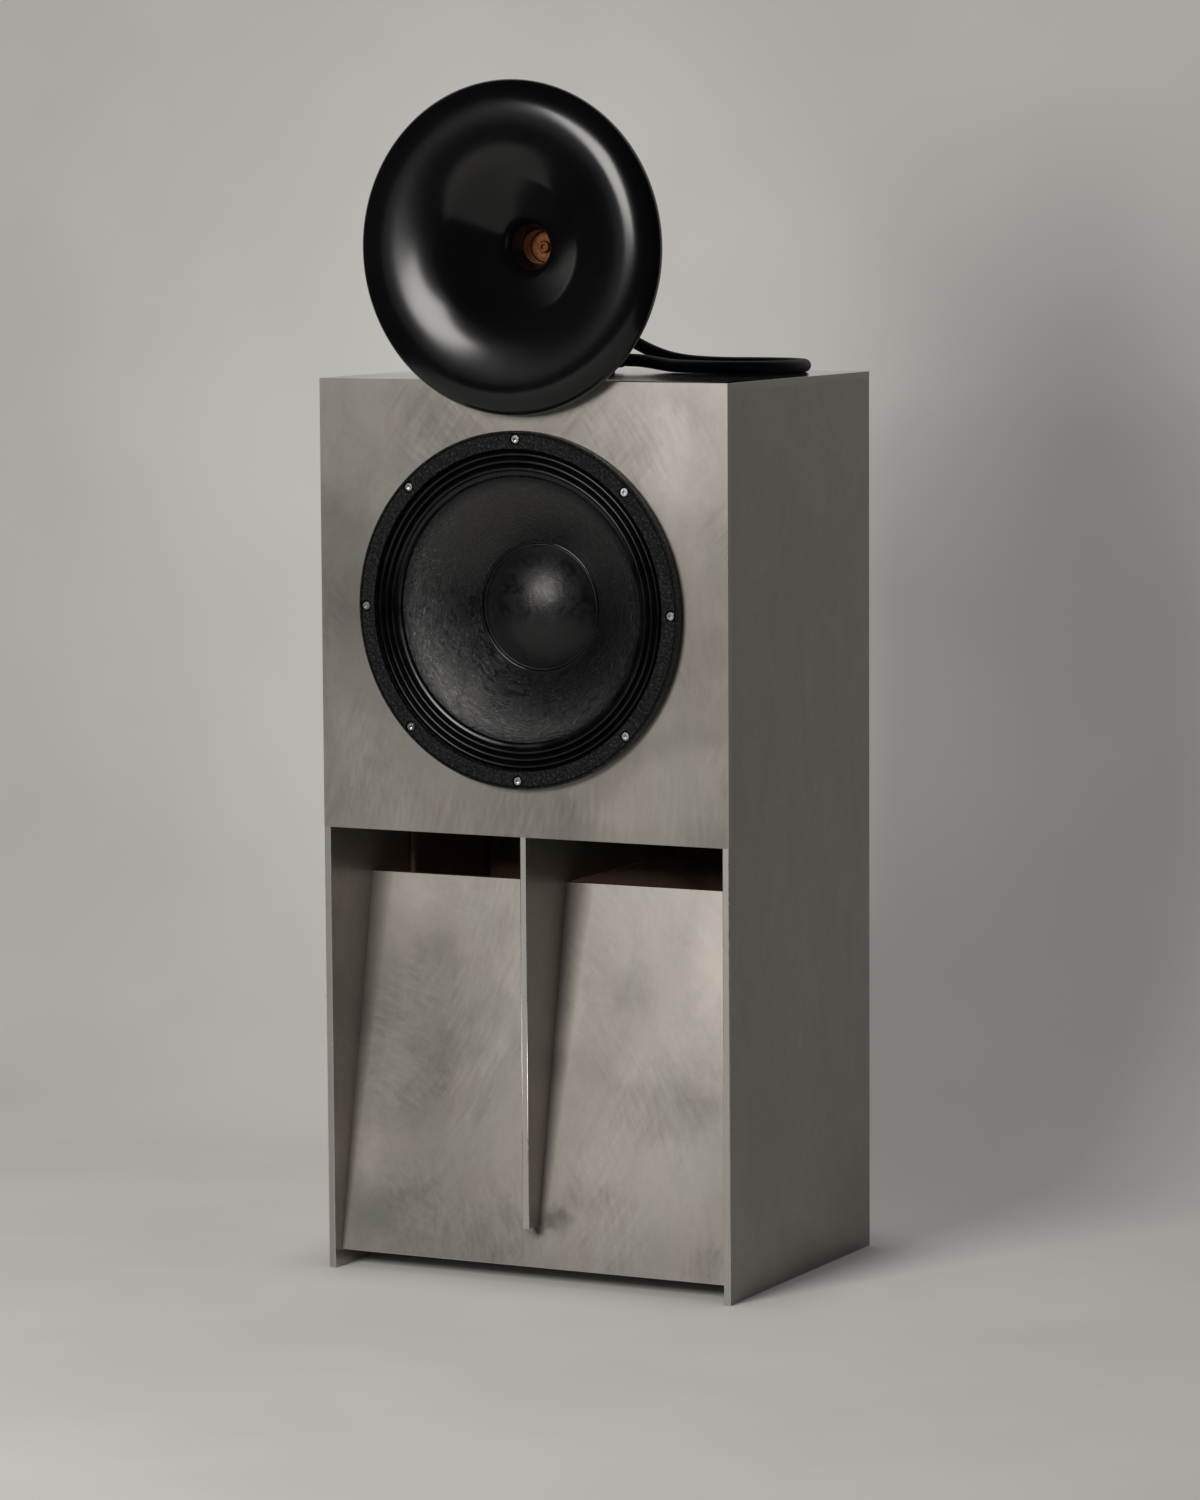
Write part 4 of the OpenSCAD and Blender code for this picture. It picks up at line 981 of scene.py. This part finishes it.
cable.data.materials.append(SLEEVE)
FINISHES = {
    "woofer_frame": (CRINKLE, 0.3 * MM), "woofer_screws": (BRIGHT, 0.25 * MM),
    "voice_coil": (WIRE, 0.0), "woofer_front_plate": (MOTOR, 0.5 * MM),
    "woofer_magnet": (FERRITE, 0.8 * MM), "woofer_yoke": (MOTOR, 0.5 * MM),
    "woofer_terminals": (LAMINATE, 0.0), "horn_stand": (COAT, 0.4 * MM),
    "stand_screws": (BRIGHT, 0.25 * MM), "driver_front_plate": (MACHINED, 0.5 * MM),
    "phase_plug": (COPPER, 0.0), "driver_magnet": (FERRITE, 0.8 * MM), "driver_rear_plate": (MOTOR, 0.5 * MM),
    "driver_cover": (COAT, 0.4 * MM), "driver_diaphragm": (DOME, 0.0),
    "driver_bolts": (BRIGHT, 0.25 * MM), "driver_boot": (RUBBER, 0.3 * MM), "cable_elbow": (RUBBER, 0.3 * MM),
    "crossover_board": (BOARD, 0.0), "crossover_spacers": (BRIGHT, 0.0), "crossover_coils": (WIRE, 0.5 * MM),
    "crossover_capacitors": (FILM, 0.8 * MM), "terminal_bushes": (KNOB_BLACK, 0.2 * MM),
    "terminal_studs": (BRASS, 0.2 * MM), "terminal_knob_plus": (KNOB_RED, 0.0),
    "terminal_knob_minus": (KNOB_BLACK, 0.0),
}
for node, (material, bevel) in FINISHES.items():
    if bevel:
        dressed(node, material, bevel)
    else:
        finish_node(node, material)


# Studio: a pale sweep close behind, a softbox in front on the left and a faint, wider one round it

SWEEP_LEFT = -1.95
SWEEP_RIGHT = 1.25
SWEEP_FRONT = -2.6
SWEEP_WALL = 0.95
SWEEP_BEND = 0.45
SWEEP_TOP = 2.6
SWEEP_GLOW = 0.23
# SHADE_AT is the middle of a painted shadow on the backdrop, GLOW_AT that of a painted pool of light
SHADE_AT = (0.85, 0.8, 0.42)
GLOW_AT = (-0.62, 0.95, 0.75)
LIT_AT = Vector((0.0, 0.0, 0.9))


def paper_finish():
    """Pale paper that glows a little, as painted light: less in the part's painted shadow, more in a painted
    pool of light on the left, and not where they touch, as painted contact shade.

    The glow shows to the camera and in mirrored light, but lights nothing, and
    the paper is clear when looked at from behind.
    """
    s = Shader("sweep_paper")
    mottle = s.noise(s.place, 3.0, detail=2.0)
    colour = s.mix(s.span(mottle, 0.3, 0.7), (0.76, 0.745, 0.72), (0.80, 0.785, 0.76))
    paper = s.node("ShaderNodeBsdfDiffuse", {"Color": colour, "Roughness": 0.5}).outputs[0]
    off = s.vector("MULTIPLY", s.vector("SUBTRACT", s.place, SHADE_AT), (1.0, 1.0, 0.8))
    level = s.span(s.vector("LENGTH", off), 0.1, 0.95, 0.85, 1.0)
    off = s.vector("MULTIPLY", s.vector("SUBTRACT", s.place, GLOW_AT), (1.0, 0.6, 0.8))
    level = s.math("ADD", level, s.span(s.vector("LENGTH", off), 0.05, 0.85, 0.55, 0.0))
    # Painted contact shade: the glow fades where the part stands close
    open_air = s.node("ShaderNodeAmbientOcclusion", {"Distance": 0.10}, samples=8).outputs["AO"]
    level = s.math("MULTIPLY", level, s.math("POWER", open_air, 1.4))
    dimmed = s.mix(1.0, colour, s.joined(level, level, level), blend="MULTIPLY")
    glow = s.node("ShaderNodeEmission", {"Color": dimmed, "Strength": SWEEP_GLOW}).outputs[0]
    path = s.node("ShaderNodeLightPath").outputs
    raised = s.span(s.parts(s.place)["Z"], 0.02, 0.30, 0.8, 1.0)
    seen = s.math("MAXIMUM", path["Is Camera Ray"], s.math("MULTIPLY", path["Is Glossy Ray"], raised))
    dark = s.node("ShaderNodeEmission", {"Strength": 0.0}).outputs[0]
    lit = s.node("ShaderNodeMixShader", {0: seen, 1: dark, 2: glow}).outputs[0]
    both = s.node("ShaderNodeAddShader", {0: paper, 1: lit}).outputs[0]
    back = s.node("ShaderNodeNewGeometry").outputs["Backfacing"]
    behind = s.math("MULTIPLY", back, path["Is Camera Ray"])
    clear = s.node("ShaderNodeBsdfTransparent").outputs[0]
    one_sided = s.node("ShaderNodeMixShader", {0: behind, 1: both, 2: clear}).outputs[0]
    s.tree.links.new(one_sided, s.output.inputs["Surface"])
    return s.material


def make_sweep():
    """Floor and backdrop as one sheet with a wide curve."""
    bend_y = SWEEP_WALL - SWEEP_BEND
    profile = [(SWEEP_FRONT, 0.0), (bend_y, 0.0)]
    profile += [(bend_y + SWEEP_BEND * math.sin(a), SWEEP_BEND - SWEEP_BEND * math.cos(a))
                for a in np.linspace(0, math.pi / 2, 24)[1:]]
    profile += [(SWEEP_WALL, SWEEP_TOP)]
    points = [(x, y, z) for x in (SWEEP_LEFT, SWEEP_RIGHT) for y, z in profile]
    n = len(profile)
    faces = [(i, n + i, n + i + 1, i + 1) for i in range(n - 1)]
    sweep = new_object("sweep", points, faces)
    sweep.data.materials.append(paper_finish())


def make_lamp(name, at, size, power, colour):
    """A rectangular area lamp that shines on the middle of the part's front."""
    data = bpy.data.lights.new(name, "AREA")
    data.shape = "RECTANGLE"
    data.size, data.size_y = size
    data.energy = power
    data.color = colour
    lamp = bpy.data.objects.new(name, data)
    bpy.context.scene.collection.objects.link(lamp)
    lamp.location = at
    lamp.rotation_euler = (LIT_AT - Vector(at)).to_track_quat("-Z", "Y").to_euler()


def make_world():
    """A faint cool light from all round."""
    world = bpy.data.worlds.new("studio")
    bpy.context.scene.world = world
    world.use_nodes = True
    sky = world.node_tree.nodes["Background"].inputs
    sky["Color"].default_value = (0.85, 0.92, 1.0, 1.0)
    sky["Strength"].default_value = 0.02


make_sweep()
make_lamp("key", (-0.55, -3.33, 1.80), (1.2, 1.2), 49, (1.0, 0.965, 0.92))
make_lamp("halo", (-0.8, -3.7, 1.9), (2.8, 2.2), 3, (0.72, 0.86, 1.0))
make_world()

bpy.context.scene.view_settings.view_transform = "Standard"
